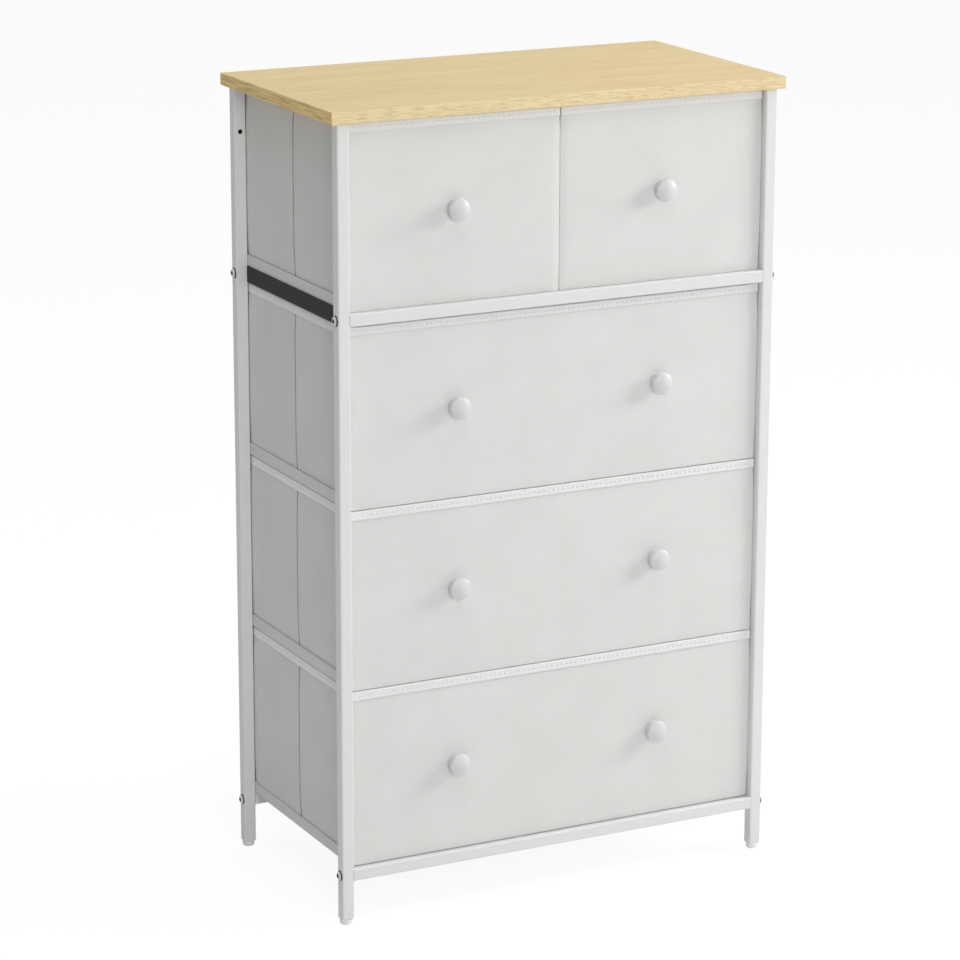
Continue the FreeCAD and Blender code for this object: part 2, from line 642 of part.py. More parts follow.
class Drawer:
    """A fabric drawer: a bag with sewn pockets, stiff boards in them, a bound hem, knobs and their screws."""

    def __init__(self, label, width, middle_x, seat, knob_x):
        self.label = label
        self.width = width
        self.middle_x = middle_x
        self.knob_x = knob_x
        self.bottom = f"{seat} + Places.drawer_lift"

    def part(self, name):
        """Start a body that is drawn from the middle of the drawer's lower front edge."""
        return new_body(f"{self.label}_{name}", self.middle_x, "Places.drawer_front", self.bottom)

    def knob_part(self, name, along):
        """Start a body that stands out of the front on the right knob's axis."""
        across = f"{self.middle_x} + {self.knob_x}"
        up = f"{self.bottom} + Places.drawer_high / 2"
        return new_body(f"{self.label}_{name}", across, along, up, OUT_OF_FRONT)

    def keep_part(self, body, name):
        """List a finished piece of this drawer."""
        keep(body, f"{self.label}_{name}")

    def keep_knob_part(self, body, name):
        """List a piece of the knobs, with its image where the drawer has two."""
        if self.knob_x == "0":
            self.keep_part(body, name)
            return
        image = mirrored(body, f"{body.Name}_image", Vector(1, 0, 0))
        self.keep_part(grouped(f"{body.Name}_pair", [body, image]), name)

    def outside(self, outset):
        """Outline of the bag, let out by an outset all round."""
        return rounded_rectangle(
            "0",
            "Places.drawer_depth / 2",
            f"{self.width} + 2 * ({outset})",
            f"Places.drawer_depth + 2 * ({outset})",
            "Sizes.corner_round",
        )

    def inside(self, inset):
        """Outline of the drawer's inside, drawn in by an inset all round."""
        return rounded_rectangle(
            "0",
            "Places.inside_middle",
            f"{self.width} - 2 * Places.side_wall - 2 * ({inset})",
            f"Places.inside_depth - 2 * ({inset})",
            "Sizes.inner_round",
        )

    def front_slot(self, thin, short):
        """Outline of the front board's pocket, made thinner and shorter for the board itself."""
        reach = f"{self.width} / 2 - Sizes.corner_seam - {short}"
        near = f"Sizes.cloth_thick + {thin}"
        far = f"Sizes.cloth_thick + Sizes.front_board + Sizes.pocket_slack - {thin}"
        return rectangle(f"-({reach})", near, reach, far)

    def wall_slots(self, thin, short):
        """Outlines of the back board's pocket and of two pockets on each side, parted by the fold line."""
        reach = f"{self.width} / 2 - Sizes.corner_seam - {short}"
        shallow = f"Sizes.cloth_thick + {thin}"
        deep = f"Sizes.cloth_thick + Sizes.wall_board + Sizes.pocket_slack - {thin}"
        back_inner = f"Places.drawer_depth - ({deep})"
        back_outer = f"Places.drawer_depth - ({shallow})"
        slots = [rectangle(f"-({reach})", back_inner, reach, back_outer)]
        spans = [
            (f"Sizes.corner_seam + {short}", f"Places.fold_y - Sizes.fold_width / 2 - {short}"),
            (
                f"Places.fold_y + Sizes.fold_width / 2 + {short}",
                f"Places.drawer_depth - Sizes.corner_seam - {short}",
            ),
        ]
        for side in (-1, 1):
            for near, far in spans:
                inner = f"{side} * ({self.width} / 2 - ({deep}))"
                outer = f"{side} * ({self.width} / 2 - ({shallow}))"
                slots.append(rectangle(inner, near, outer, far))
        return slots

    def knob_holes(self):
        """Clearance holes for the knob screws through the front."""
        sides = (1,) if self.knob_x == "0" else (-1, 1)
        radius = "Sizes.knob_screw_dia / 2 + Sizes.hole_slack"
        return [(f"{side} * {self.knob_x}", "Places.drawer_high / 2", radius) for side in sides]

    def build_bag(self):
        """Sewn bag, open at the top, with a pocket for each board and a fold line down its sides."""
        body = self.part("bag")
        pad(body, new_sketch(body, "XY_Plane", loops=[self.outside("0")]), "Places.bag_high")
        deep = "Places.bag_high - Sizes.cloth_thick"
        pocket(body, new_sketch(body, "XY_Plane", "Places.bag_high", [self.inside("0")]), deep)
        slots = [self.front_slot("0", "0")] + self.wall_slots("0", "0")
        pocket(body, new_sketch(body, "XY_Plane", "Places.bag_high", slots), deep)
        folds = [
            rectangle(
                f"{side} * ({self.width} / 2 - Sizes.fold_deep)",
                "Places.fold_y - Sizes.fold_groove / 2",
                f"{side} * ({self.width} / 2 + Sizes.fold_deep)",
                "Places.fold_y + Sizes.fold_groove / 2",
            )
            for side in (-1, 1)
        ]
        pocket(body, new_sketch(body, "XY_Plane", "Places.bag_high", folds), "Places.bag_high")
        pocket(body, new_sketch(body, "XZ_Plane", circles=self.knob_holes()), "Places.front_wall")
        self.keep_part(body, "bag")

    def build_boards(self):
        """Stiff boards in the pockets and on the floor of the bag."""
        high = "Places.bag_high - Sizes.cloth_thick - Sizes.board_drop"
        fit = ("Sizes.pocket_slack / 2", "Sizes.board_slack")
        front = self.part("front_board")
        pad(front, new_sketch(front, "XY_Plane", "Sizes.cloth_thick", [self.front_slot(*fit)]), high)
        pocket(front, new_sketch(front, "XZ_Plane", circles=self.knob_holes()), "Places.front_wall")
        self.keep_part(front, "front_board")
        walls = self.part("wall_boards")
        pad(walls, new_sketch(walls, "XY_Plane", "Sizes.cloth_thick", self.wall_slots(*fit)), high)
        self.keep_part(walls, "wall_boards")
        floor = self.part("floor_board")
        outline = self.inside("Sizes.board_slack")
        pad(floor, new_sketch(floor, "XY_Plane", "Sizes.cloth_thick", [outline]), "Sizes.floor_board")
        self.keep_part(floor, "floor_board")

    def build_hem(self):
        """Binding tape folded over the upper edge of the bag's walls."""
        body = self.part("hem")
        bottom = "Places.drawer_high - Sizes.hem_high"
        cover = "Sizes.hem_thick + Sizes.hem_slack"
        tape = [self.outside(cover), self.inside(cover)]
        pad(body, new_sketch(body, "XY_Plane", bottom, tape), "Sizes.hem_high")
        wall = [self.outside("Sizes.hem_slack"), self.inside("Sizes.hem_slack")]
        channel = new_sketch(body, "XY_Plane", bottom, wall)
        pocket(body, channel, "Sizes.hem_high - Sizes.hem_thick", forwards=True)
        self.keep_part(body, "hem")

    def build_knobs(self):
        """Turned knobs with a base, a slight waist and a domed head, each held by a screw from inside."""
        knob = self.knob_part("knobs", "Places.drawer_front")
        base_edge = ("left", "Sizes.knob_base_edge")
        profile = [
            ("0", "0"),
            ("Places.knob_foot_x", "0", base_edge),
            ("Sizes.knob_base_dia / 2", "Sizes.knob_base_edge"),
            ("Sizes.knob_base_dia / 2", "Sizes.knob_base_thick - Sizes.knob_base_edge", base_edge),
            ("Places.knob_foot_x", "Sizes.knob_base_thick", ("right", "Places.knob_waist_bend")),
            ("Places.knob_bend_x", "Places.knob_bend_y", ("left", "Sizes.knob_rim")),
            (
                "Sizes.knob_dome * Places.knob_rim_reach / Places.knob_dome_run",
                "Places.knob_dome_base + Sizes.knob_dome * Places.knob_dome_rise / Places.knob_dome_run",
                ("left", "Sizes.knob_dome"),
            ),
            ("0", "Sizes.knob_long"),
        ]
        revolve(knob, profile)
        thread = ("0", "0", "Sizes.knob_screw_dia / 2 + Sizes.thread_slack")
        pocket(knob, new_sketch(knob, "XY_Plane", circles=[thread]), "Sizes.knob_hole_deep", forwards=True)
        self.keep_knob_part(knob, "knobs")
        screw = self.knob_part("knob_screws", "Places.drawer_front + Places.front_wall")
        build_pan_head_screw(
            screw,
            "Places.front_wall + Sizes.knob_screw_bite",
            "Sizes.knob_screw_dia",
            "Sizes.knob_screw_head_dia",
            "Sizes.knob_screw_head_high",
        )
        self.keep_knob_part(screw, "knob_screws")

    def build(self):
        """Make every piece of the drawer."""
        self.build_bag()
        self.build_boards()
        self.build_hem()
        self.build_knobs()


def build_drawers():
    """Two small drawers side by side over three wide ones."""
    for place, side in (("left", -1), ("right", 1)):
        middle_x = f"{side} * Places.small_centre"
        Drawer(f"{place}_small_drawer", "Places.small_width", middle_x, "Places.upper_seat", "0").build()
    for row, place in enumerate(WIDE_ROWS):
        seat = f"Places.lower_seat + {row} * Sizes.row_height"
        Drawer(f"{place}_wide_drawer", "Places.wide_width", "0", seat, "Sizes.knob_spacing / 2").build()


def check_model():
    """Stop if a feature failed, a cut removed nothing or a piece isn't sound."""
    for item in doc.Objects:
        if "Invalid" in item.State or "Error" in item.State:
            raise RuntimeError(f"{item.Label} failed: {item.State}")
        if item.TypeId == "PartDesign::Pocket" and item.Shape.Volume >= item.BaseFeature.Shape.Volume:
            raise RuntimeError(f"{item.Label} cuts nothing")
    for label, piece in nodes.items():
        if piece.Shape.isNull() or not piece.Shape.isValid():
            raise RuntimeError(f"{label} isn't a sound shape")


def write_parts():
    """Write each piece to its own file."""
    os.makedirs("parts", exist_ok=True)
    for label, piece in nodes.items():
        piece.Shape.exportStep(f"parts/{label}.step")
        box = piece.Shape.BoundBox
        print(f"{label}: {len(piece.Shape.Solids)} solids, z {box.ZMin:.1f} to {box.ZMax:.1f}")


build_top_board()
build_posts()
build_rails()
build_runners()
build_divider_panel()
build_frame_bolts()
build_top_screws()
build_feet()
build_drawers()
doc.recompute()
check_model()
write_parts()
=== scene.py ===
import logging
import math
from collections.abc import Callable
from dataclasses import dataclass
from enum import Enum

import bmesh
import bpy
from mathutils import Matrix, Vector, noise


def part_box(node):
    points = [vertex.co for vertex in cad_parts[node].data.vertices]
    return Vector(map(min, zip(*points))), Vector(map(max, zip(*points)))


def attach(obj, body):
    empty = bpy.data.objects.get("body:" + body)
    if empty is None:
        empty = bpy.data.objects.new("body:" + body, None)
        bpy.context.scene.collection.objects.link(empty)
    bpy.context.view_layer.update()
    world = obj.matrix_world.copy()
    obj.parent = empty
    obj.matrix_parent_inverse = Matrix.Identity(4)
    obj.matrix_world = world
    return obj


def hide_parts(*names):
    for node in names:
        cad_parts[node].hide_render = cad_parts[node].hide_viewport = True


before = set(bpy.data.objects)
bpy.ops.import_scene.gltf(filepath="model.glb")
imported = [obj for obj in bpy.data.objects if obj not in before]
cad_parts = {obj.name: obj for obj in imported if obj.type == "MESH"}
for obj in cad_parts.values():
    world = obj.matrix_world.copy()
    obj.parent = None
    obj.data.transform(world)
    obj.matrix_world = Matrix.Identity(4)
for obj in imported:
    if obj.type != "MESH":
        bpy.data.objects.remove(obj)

# A millimetre in the frame's metres, a length too small to see, and the decimals of a whole millimetre
MM = 0.001
HAIR = 0.01 * MM
MM_DIGITS = 3
# From these shares of its direction on, a face or an edge counts as squarely or mainly along an axis
SQUARELY = 0.9
MAINLY = 0.6
# Names of the numbers that the hem and the bag carry at their points
# Where the needle's holes along the hem's seam get painted shade
NEEDLE_SHADE = "needle"
# Where the folds down the bag's sides get painted shade
CREASE_SHADE = "crease"
RGB = tuple[float, float, float]
Place = tuple[float, float, float]
# Spots of a noise per metre along each axis, and the levels between which a number rises to one
Scale = tuple[float, float, float]
Rise = tuple[float, float]
Sockets = dict[str, object]
Test = Callable[[Vector, Vector], bool]
Tool = Callable[..., object]

log = logging.getLogger("dresser")


class Pick(Enum):
    """What a selection tool picks in edit mode."""

    EDGES = "EDGE"
    FACES = "FACE"


def opaque(colour: RGB) -> tuple[float, float, float, float]:
    """A colour with full alpha."""
    return (*colour, 1.0)


class Signal:
    """A number or vector that varies over a surface. Operators on numbers add Math nodes."""

    def __init__(self, graph: "ShaderGraph", socket: bpy.types.NodeSocket) -> None:
        """Wrap one output socket of a graph."""
        self.graph = graph
        self.socket = socket

    def math(self, operation: str, first: "Signal | float", second: "Signal | float" = 0.0) -> "Signal":
        """Add a Math node on one or two numbers."""
        return self.graph.node("ShaderNodeMath", {"operation": operation}, {0: first, 1: second})

    def __add__(self, other: "Signal | float") -> "Signal":
        """Self plus other."""
        return self.math("ADD", self, other)

    def __sub__(self, other: "Signal | float") -> "Signal":
        """Self minus other."""
        return self.math("SUBTRACT", self, other)

    def __rsub__(self, other: float) -> "Signal":
        """Other minus self."""
        return self.math("SUBTRACT", other, self)

    def __mul__(self, other: "Signal | float") -> "Signal":
        """Self times other."""
        return self.math("MULTIPLY", self, other)

    __radd__ = __add__
    __rmul__ = __mul__

    def __abs__(self) -> "Signal":
        """Self without its sign."""
        return self.math("ABSOLUTE", self)

    def sine(self) -> "Signal":
        """Sine of self, in radians."""
        return self.math("SINE", self)

    def root(self) -> "Signal":
        """Square root of self."""
        return self.math("SQRT", self)

    def above(self, level: float) -> "Signal":
        """One where self is over a level, else zero."""
        return self.math("GREATER_THAN", self, level)

    def larger(self, other: "Signal") -> "Signal":
        """The larger of self and other."""
        return self.math("MAXIMUM", self, other)

    def mixed(self, other: "Signal", share: "Signal | float") -> "Signal":
        """Self where a share is zero, other where it is one."""
        return self * (1 - share) + other * share

    def off_pair(self, middle: float, span: float) -> "Signal":
        """How far self is from the nearer of two spots, a span either side of a middle."""
        return abs(abs(self - middle) - span)

    def fade(self, low: float, high: float) -> "Signal":
        """Rise smoothly from zero at low to one at high."""
        limits = {"Value": self, "From Min": low, "From Max": high}
        return self.graph.node("ShaderNodeMapRange", {"interpolation_type": "SMOOTHSTEP"}, limits)


@dataclass(frozen=True)
class Grain:
    """A noise on a finish, with its share of the tone, its finer layers and where it is sharpened."""

    scale: Scale
    share: float
    detail: float = 3.0
    rise: Rise = (0.3, 0.7)


class ShaderGraph:
    """The node tree of one material."""

    # Sockets of a Mix node that mixes colours
    FIRST_COLOUR = 6
    SECOND_COLOUR = 7
    MIXED_COLOUR = 2

    def __init__(self, name: str) -> None:
        """Start a material with a plain shader.

        Args:
            name: the material's name.
        """
        self.material = bpy.data.materials.new(name)
        self.material.use_nodes = True
        self.tree = self.material.node_tree
        self.shader = self.tree.nodes["Principled BSDF"]

    def node(
        self, kind: str, settings: dict | None = None, sockets: dict | None = None, output: int | str = 0
    ) -> Signal:
        """Add a node.

        Args:
            kind: the node's type.
            settings: its own settings, set first.
            sockets: the value or link of each input socket.
            output: the output socket that is wanted.

        Returns:
            The output socket as a signal.
        """
        node = self.tree.nodes.new(kind)
        for name, setting in (settings or {}).items():
            setattr(node, name, setting)
        for key, value in (sockets or {}).items():
            self.feed(node.inputs[key], value)
        return Signal(self, node.outputs[output])

    def feed(self, socket: bpy.types.NodeSocket, value: object) -> None:
        """Link a signal to a socket, or set a plain value on it.

        Args:
            socket: the input socket.
            value: the signal or the value.
        """
        if isinstance(value, Signal):
            self.tree.links.new(value.socket, socket)
        else:
            socket.default_value = value

    def place(self) -> Signal:
        """Where a point is, in the dresser's own frame."""
        return self.node("ShaderNodeTexCoord", output="Object")

    def facing(self) -> Signal:
        """Which way the surface faces."""
        return self.node("ShaderNodeTexCoord", output="Normal")

    def mark(self, name: str) -> Signal:
        """A number that a piece carries at its points."""
        return self.node("ShaderNodeAttribute", {"attribute_name": name}, output="Fac")

    def parts(self, vector: Signal) -> list[Signal]:
        """The three numbers of a vector."""
        outputs = self.node("ShaderNodeSeparateXYZ", sockets={0: vector}).socket.node.outputs
        return [Signal(self, output) for output in outputs]

    def point(self, x: Signal, y: Signal, z: Signal) -> Signal:
        """A vector made of three numbers."""
        return self.node("ShaderNodeCombineXYZ", sockets={0: x, 1: y, 2: z})

    def noise(self, vector: Signal, grain: Grain) -> Signal:
        """A grain's plain noise on some coordinates, from 0 to 1.

        Args:
            vector: the coordinates.
            grain: the grain.

        Returns:
            The noise.
        """
        spots = self.node("ShaderNodeVectorMath", {"operation": "MULTIPLY"}, {0: vector, 1: grain.scale})
        sockets = {"Vector": spots, "Scale": 1.0, "Detail": grain.detail}
        return self.node("ShaderNodeTexNoise", {}, sockets)

    def layer(self, vector: Signal, grain: Grain) -> Signal:
        """A grain's noise on some coordinates, sharpened and times its share of the tone."""
        return self.noise(vector, grain).fade(*grain.rise) * grain.share

    def blend(self, amount: Signal, first: RGB | Signal, second: RGB | Signal) -> Signal:
        """Mix two colours.

        Args:
            amount: zero for the first colour, one for the second.
            first: a colour.
            second: a colour.

        Returns:
            The mixed colour.
        """
        colours = [side if isinstance(side, Signal) else opaque(side) for side in (first, second)]
        sockets = {0: amount, self.FIRST_COLOUR: colours[0], self.SECOND_COLOUR: colours[1]}
        return self.node("ShaderNodeMix", {"data_type": "RGBA"}, sockets, self.MIXED_COLOUR)

    def bump(self, height: Signal, depth: float) -> Signal:
        """Raise the surface where height is one, by a depth in metres."""
        return self.node("ShaderNodeBump", {}, {"Height": height, "Distance": depth, "Strength": 1.0})

    def seen_directly(self) -> Signal:
        """Tell the rays that look at a surface from those that carry its light.

        Returns:
            One for rays from the camera, off gloss or through glass, else zero.
        """
        paths = self.node("ShaderNodeLightPath").socket.node.outputs
        kinds = ("Is Camera Ray", "Is Glossy Ray", "Is Transmission Ray")
        camera, glossy, through = (Signal(self, paths[kind]) for kind in kinds)
        return camera.larger(glossy).larger(through)

    def paint(self, sockets: Sockets) -> bpy.types.Material:
        """Set or link the shader's sockets.

        Args:
            sockets: the value or signal of each socket.

        Returns:
            The material.
        """
        for key, value in sockets.items():
            self.feed(self.shader.inputs[key], value)
        return self.material


class WorldGraph(ShaderGraph):
    """The node tree of the surround."""

    def __init__(self, world: bpy.types.World) -> None:
        """Take the world's own nodes."""
        self.tree = world.node_tree
        self.shader = self.tree.nodes["Background"]


def post_places() -> tuple[Vector, Vector]:
    """Find the four posts by the feet that stand under them.

    Returns:
        The middle between the posts, and half their spans.
    """
    first = sum(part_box("left_front_foot"), Vector()) / 2
    last = sum(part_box("right_rear_foot"), Vector()) / 2
    return (first + last) / 2, (last - first) / 2


@dataclass(frozen=True)
class Finish:
    """A surface finish with a name, a pale and a dark tone, a roughness and a level of gloss."""

    name: str
    pale: RGB
    dark: RGB
    roughness: float
    gloss: float = 0.5

    def sockets(self, graph: ShaderGraph) -> Sockets:
        """What feeds the shader's sockets, apart from the gloss."""
        raise NotImplementedError

    def material(self) -> bpy.types.Material:
        """Make the finish's material."""
        graph = ShaderGraph(self.name)
        return graph.paint({"Specular IOR Level": self.gloss, **self.sockets(graph)})


@dataclass(frozen=True)
class WovenCloth(Finish):
    """Pale cloth with a fine plain weave that follows each wall, with shade painted into its creases."""

    gloss: float = 0.25
    # Painted shade in the folds: its colour, and how much of it covers the cloth there
    inside: RGB = (0.2, 0.2, 0.195)
    crease_shade_share: float = 0.8
    thread: float = 0.7 * MM
    weave_share: float = 0.35
    weave_polish: float = 0.06
    slub: Grain = Grain((60.0, 900.0, 0.0), 0.35, 2.0)
    slub_relief: float = 0.5
    mottle: Grain = Grain((14.0, 14.0, 14.0), 0.3)
    relief: float = 0.05 * MM
    sheen: float = 0.12
    sheen_rough: float = 0.45

    def sockets(self, graph: ShaderGraph) -> Sockets:
        """Draw the weave, its uneven threads and the shade painted into its creases.

        Args:
            graph: the material's nodes.

        Returns:
            What feeds each socket.
        """
        place = graph.place()
        x, y, z = graph.parts(place)
        face_x, _, face_z = graph.parts(graph.facing())
        across = x.mixed(y, abs(face_x).above(MAINLY))
        up = z.mixed(y, abs(face_z).above(MAINLY))
        turn = math.pi / self.thread
        warp = (across * turn).sine()
        weft = (up * turn).sine()
        height = abs(weft).mixed(abs(warp), (warp * weft).above(0.0))
        slub = graph.noise(graph.point(across, up, z), self.slub)
        tone = height * self.weave_share + slub * self.slub.share + graph.layer(place, self.mottle)
        plain = graph.blend(tone, self.dark, self.pale)
        return {
            # Painted shade: the cloth turns dark where it carries the crease mark
            "Base Color": graph.blend(graph.mark(CREASE_SHADE) * self.crease_shade_share, plain, self.inside),
            "Roughness": self.roughness - height * self.weave_polish,
            "Sheen Weight": self.sheen,
            "Sheen Roughness": self.sheen_rough,
            "Normal": graph.bump(height + slub * self.slub_relief, self.relief),
        }


@dataclass(frozen=True)
class TwillTape(Finish):
    """Binding tape with fine slanting ribs, with painted light on its sides, paler than front and back."""

    gloss: float = 0.3
    # Painted light along the sides: its tone, the least share of it, and how sideways a face must look
    painted_side_tone: RGB = (0.95, 0.95, 0.94)
    painted_side_least: float = 0.7
    painted_side_rise: Rise = (0.5, 0.8)
    # Painted shade at the needle's holes: its colour, its share and how it fades in
    needle_shade: RGB = (0.3, 0.3, 0.3)
    needle_shade_share: float = 0.7
    needle_shade_rise: Rise = (0.5, 1.0)
    rib: float = 0.8 * MM
    rib_slope: float = 0.8
    rib_share: float = 0.4
    rib_polish: float = 0.08
    fuzz: Grain = Grain((900.0, 900.0, 900.0), 0.3, 2.0)
    fuzz_relief: float = 0.4
    mottle: Grain = Grain((30.0, 30.0, 30.0), 0.3)
    relief: float = 0.06 * MM
    sheen: float = 0.1

    def sockets(self, graph: ShaderGraph) -> Sockets:
        """Draw the ribs, the fuzz, the painted side tone and the painted shade at the needle's holes.

        Args:
            graph: the material's nodes.

        Returns:
            What feeds each socket.
        """
        place = graph.place()
        x, y, z = graph.parts(place)
        ribs = abs(((x + y + z * self.rib_slope) * (math.pi / self.rib)).sine())
        fuzz = graph.noise(place, self.fuzz)
        mottle = graph.noise(place, self.mottle)
        tone = ribs * self.rib_share + fuzz * self.fuzz.share + mottle * self.mottle.share
        face_x, _, _ = graph.parts(graph.facing())
        # Painted light on the sides, a little uneven with the tape's own tone
        painted_side_share = self.painted_side_least + tone * (1 - self.painted_side_least)
        on_side = abs(face_x).fade(*self.painted_side_rise) * painted_side_share
        band = graph.blend(on_side, graph.blend(tone, self.dark, self.pale), self.painted_side_tone)
        # Painted shade: the tape turns dark where it carries the needle mark
        needle = graph.mark(NEEDLE_SHADE).fade(*self.needle_shade_rise)
        return {
            "Base Color": graph.blend(needle * self.needle_shade_share, band, self.needle_shade),
            "Roughness": self.roughness - ribs * self.rib_polish,
            "Sheen Weight": self.sheen,
            "Normal": graph.bump(ribs + fuzz * self.fuzz_relief, self.relief),
        }


@dataclass(frozen=True)
class SewingThread(Finish):
    """Twisted thread."""

    ply: float = 0.35 * MM
    twist_polish: float = 0.1
    relief: float = 0.05 * MM

    def sockets(self, graph: ShaderGraph) -> Sockets:
        """Draw the twist."""
        twist = abs((sum(graph.parts(graph.place())) * (math.pi / self.ply)).sine())
        return {
            "Base Color": graph.blend(twist, self.dark, self.pale),
            "Roughness": self.roughness - twist * self.twist_polish,
            "Normal": graph.bump(twist, self.relief),
        }


@dataclass(frozen=True)
class PowderCoat(Finish):
    """Baked coat on steel tube, with a fine orange-peel skin and a bare, dark bore."""

    gloss: float = 0.25
    skin: Grain = Grain((800.0, 800.0, 800.0), 0.4, 2.0)
    skin_polish: float = 0.06
    peel: float = 0.012 * MM
    cloud: Grain = Grain((22.0, 22.0, 9.0), 0.6)
    cloud_rough: float = 0.12
    bore: float = 6.5 * MM
    bare: RGB = (0.035, 0.034, 0.033)

    def sockets(self, graph: ShaderGraph) -> Sockets:
        """Draw the coat, and the bare steel inside the posts.

        Args:
            graph: the material's nodes.

        Returns:
            What feeds each socket.
        """
        place = graph.place()
        x, y, _ = graph.parts(place)
        middle, span = post_places()
        off_post = x.off_pair(middle.x, span.x).larger(y.off_pair(middle.y, span.y))
        skin = graph.noise(place, self.skin)
        cloud = graph.noise(place, self.cloud)
        coat = graph.blend(skin * self.skin.share + cloud * self.cloud.share, self.dark, self.pale)
        return {
            "Base Color": graph.blend(1 - off_post.above(self.bore), coat, self.bare),
            "Roughness": self.roughness + cloud * self.cloud_rough - skin * self.skin_polish,
            "Normal": graph.bump(skin, self.peel),
        }


@dataclass(frozen=True)
class WoodLook(Finish):
    """Pale maple-look foil on a board: streaks and short dashes along the grain, bolder on its edges."""

    gloss: float = 0.25
    pore: RGB = (0.35, 0.22, 0.06)
    end: RGB = (0.92, 0.68, 0.26)
    end_share: float = 0.7
    lip: RGB = (0.86, 0.73, 0.47)
    lip_share: float = 0.5
    streak: Grain = Grain((7.0, 320.0, 320.0), 0.4, 4.0)
    band: Grain = Grain((2.2, 26.0, 26.0), 0.2)
    cloud: Grain = Grain((9.0, 40.0, 40.0), 0.4, 4.0)
    dashes: Grain = Grain((50.0, 900.0, 900.0), 0.14, 2.0, (0.55, 0.68))
    lines: Grain = Grain((18.0, 620.0, 620.0), 0.5, 3.0, (0.46, 0.58))
    ticks: Grain = Grain((55.0, 1050.0, 1050.0), 0.36, 3.0, (0.5, 0.62))
    grain_rough: float = 0.12
    streak_relief: float = 0.4
    relief: float = 0.03 * MM

    def sockets(self, graph: ShaderGraph) -> Sockets:
        """Draw the grain on the top, the front edge and the ends.

        Args:
            graph: the material's nodes.

        Returns:
            What feeds each socket.
        """
        x, y, z = graph.parts(graph.place())
        face_x, _, face_z = graph.parts(graph.facing())
        on_end = abs(face_x).above(MAINLY)
        on_edge = 1 - abs(face_z).above(MAINLY)
        on_front = on_edge - on_end
        sheet = graph.point(x.mixed(y, on_end), y.mixed(x, on_end), z)
        streak = graph.noise(sheet, self.streak)
        broad = graph.layer(sheet, self.band) + graph.layer(sheet, self.cloud)
        tone = streak.fade(*self.streak.rise) * self.streak.share + broad
        plain = graph.blend(tone, self.dark, self.pale)
        with_ends = graph.blend(on_end * self.end_share, plain, self.end)
        foil = graph.blend(on_front * self.lip_share, with_ends, self.lip)
        dashes = graph.noise(sheet, self.dashes).fade(*self.dashes.rise)
        edge_pores = graph.layer(sheet, self.lines) * on_end + graph.layer(sheet, self.ticks) * on_front
        pores = dashes * self.dashes.share * (1 - on_edge) + edge_pores
        height = streak.mixed(1 - dashes, 1 - self.streak_relief)
        return {
            "Base Color": graph.blend(pores, foil, self.pore),
            "Roughness": self.roughness + (streak + dashes) * self.grain_rough,
            "Normal": graph.bump(height, self.relief),
        }


@dataclass(frozen=True)
class Fibreboard(Finish):
    """Pressed fibre board with fine flecks."""

    gloss: float = 0.4
    fleck: Grain = Grain((700.0, 700.0, 260.0), 0.6, 3.0, (0.35, 0.65))
    fleck_rough: float = 0.1
    cloud: Grain = Grain((18.0, 18.0, 18.0), 0.4)
    relief: float = 0.04 * MM

    def sockets(self, graph: ShaderGraph) -> Sockets:
        """Draw the flecks.

        Args:
            graph: the material's nodes.

        Returns:
            What feeds each socket.
        """
        place = graph.place()
        fleck = graph.noise(place, self.fleck)
        cloud = graph.noise(place, self.cloud)
        tone = fleck.fade(*self.fleck.rise) * self.fleck.share + cloud * self.cloud.share
        return {
            "Base Color": graph.blend(tone, self.dark, self.pale),
            "Roughness": self.roughness + fleck * self.fleck_rough,
            "Normal": graph.bump(fleck, self.relief),
        }


@dataclass(frozen=True)
class MouldedPlastic(Finish):
    """Moulded plastic with a soft skin and faint handling marks."""

    skin: Grain = Grain((1600.0, 1600.0, 1600.0), 0.3, 2.0)
    smudge: Grain = Grain((120.0, 120.0, 120.0), 0.7)
    smudge_rough: float = 0.1
    relief: float = 0.006 * MM

    def sockets(self, graph: ShaderGraph) -> Sockets:
        """Draw the skin and the marks.

        Args:
            graph: the material's nodes.

        Returns:
            What feeds each socket.
        """
        place = graph.place()
        skin = graph.noise(place, self.skin)
        smudge = graph.noise(place, self.smudge)
        tone = smudge * self.smudge.share + skin * self.skin.share
        return {
            "Base Color": graph.blend(tone, self.dark, self.pale),
            "Roughness": self.roughness + smudge * self.smudge_rough,
            "Normal": graph.bump(skin, self.relief),
        }


@dataclass(frozen=True)
class PlatedSteel(Finish):
    """Nickel plate with fine turning marks."""

    marks: Grain = Grain((300.0, 2200.0, 2200.0), 0.5, 2.0)
    cloud: Grain = Grain((90.0, 90.0, 90.0), 0.5)
    tone_rough: float = 0.12
    relief: float = 0.008 * MM

    def tone(self, graph: ShaderGraph, place: Signal) -> Signal:
        """How pale the plate is, from 0 to 1."""
        marks, cloud = (graph.noise(place, grain) * grain.share for grain in (self.marks, self.cloud))
        return marks + cloud

    def sockets(self, graph: ShaderGraph) -> Sockets:
        """Draw the marks."""
        tone = self.tone(graph, graph.place())
        return {
            "Base Color": graph.blend(tone, self.dark, self.pale),
            "Roughness": self.roughness + tone * self.tone_rough,
            "Metallic": 1.0,
            "Normal": graph.bump(tone, self.relief),
        }


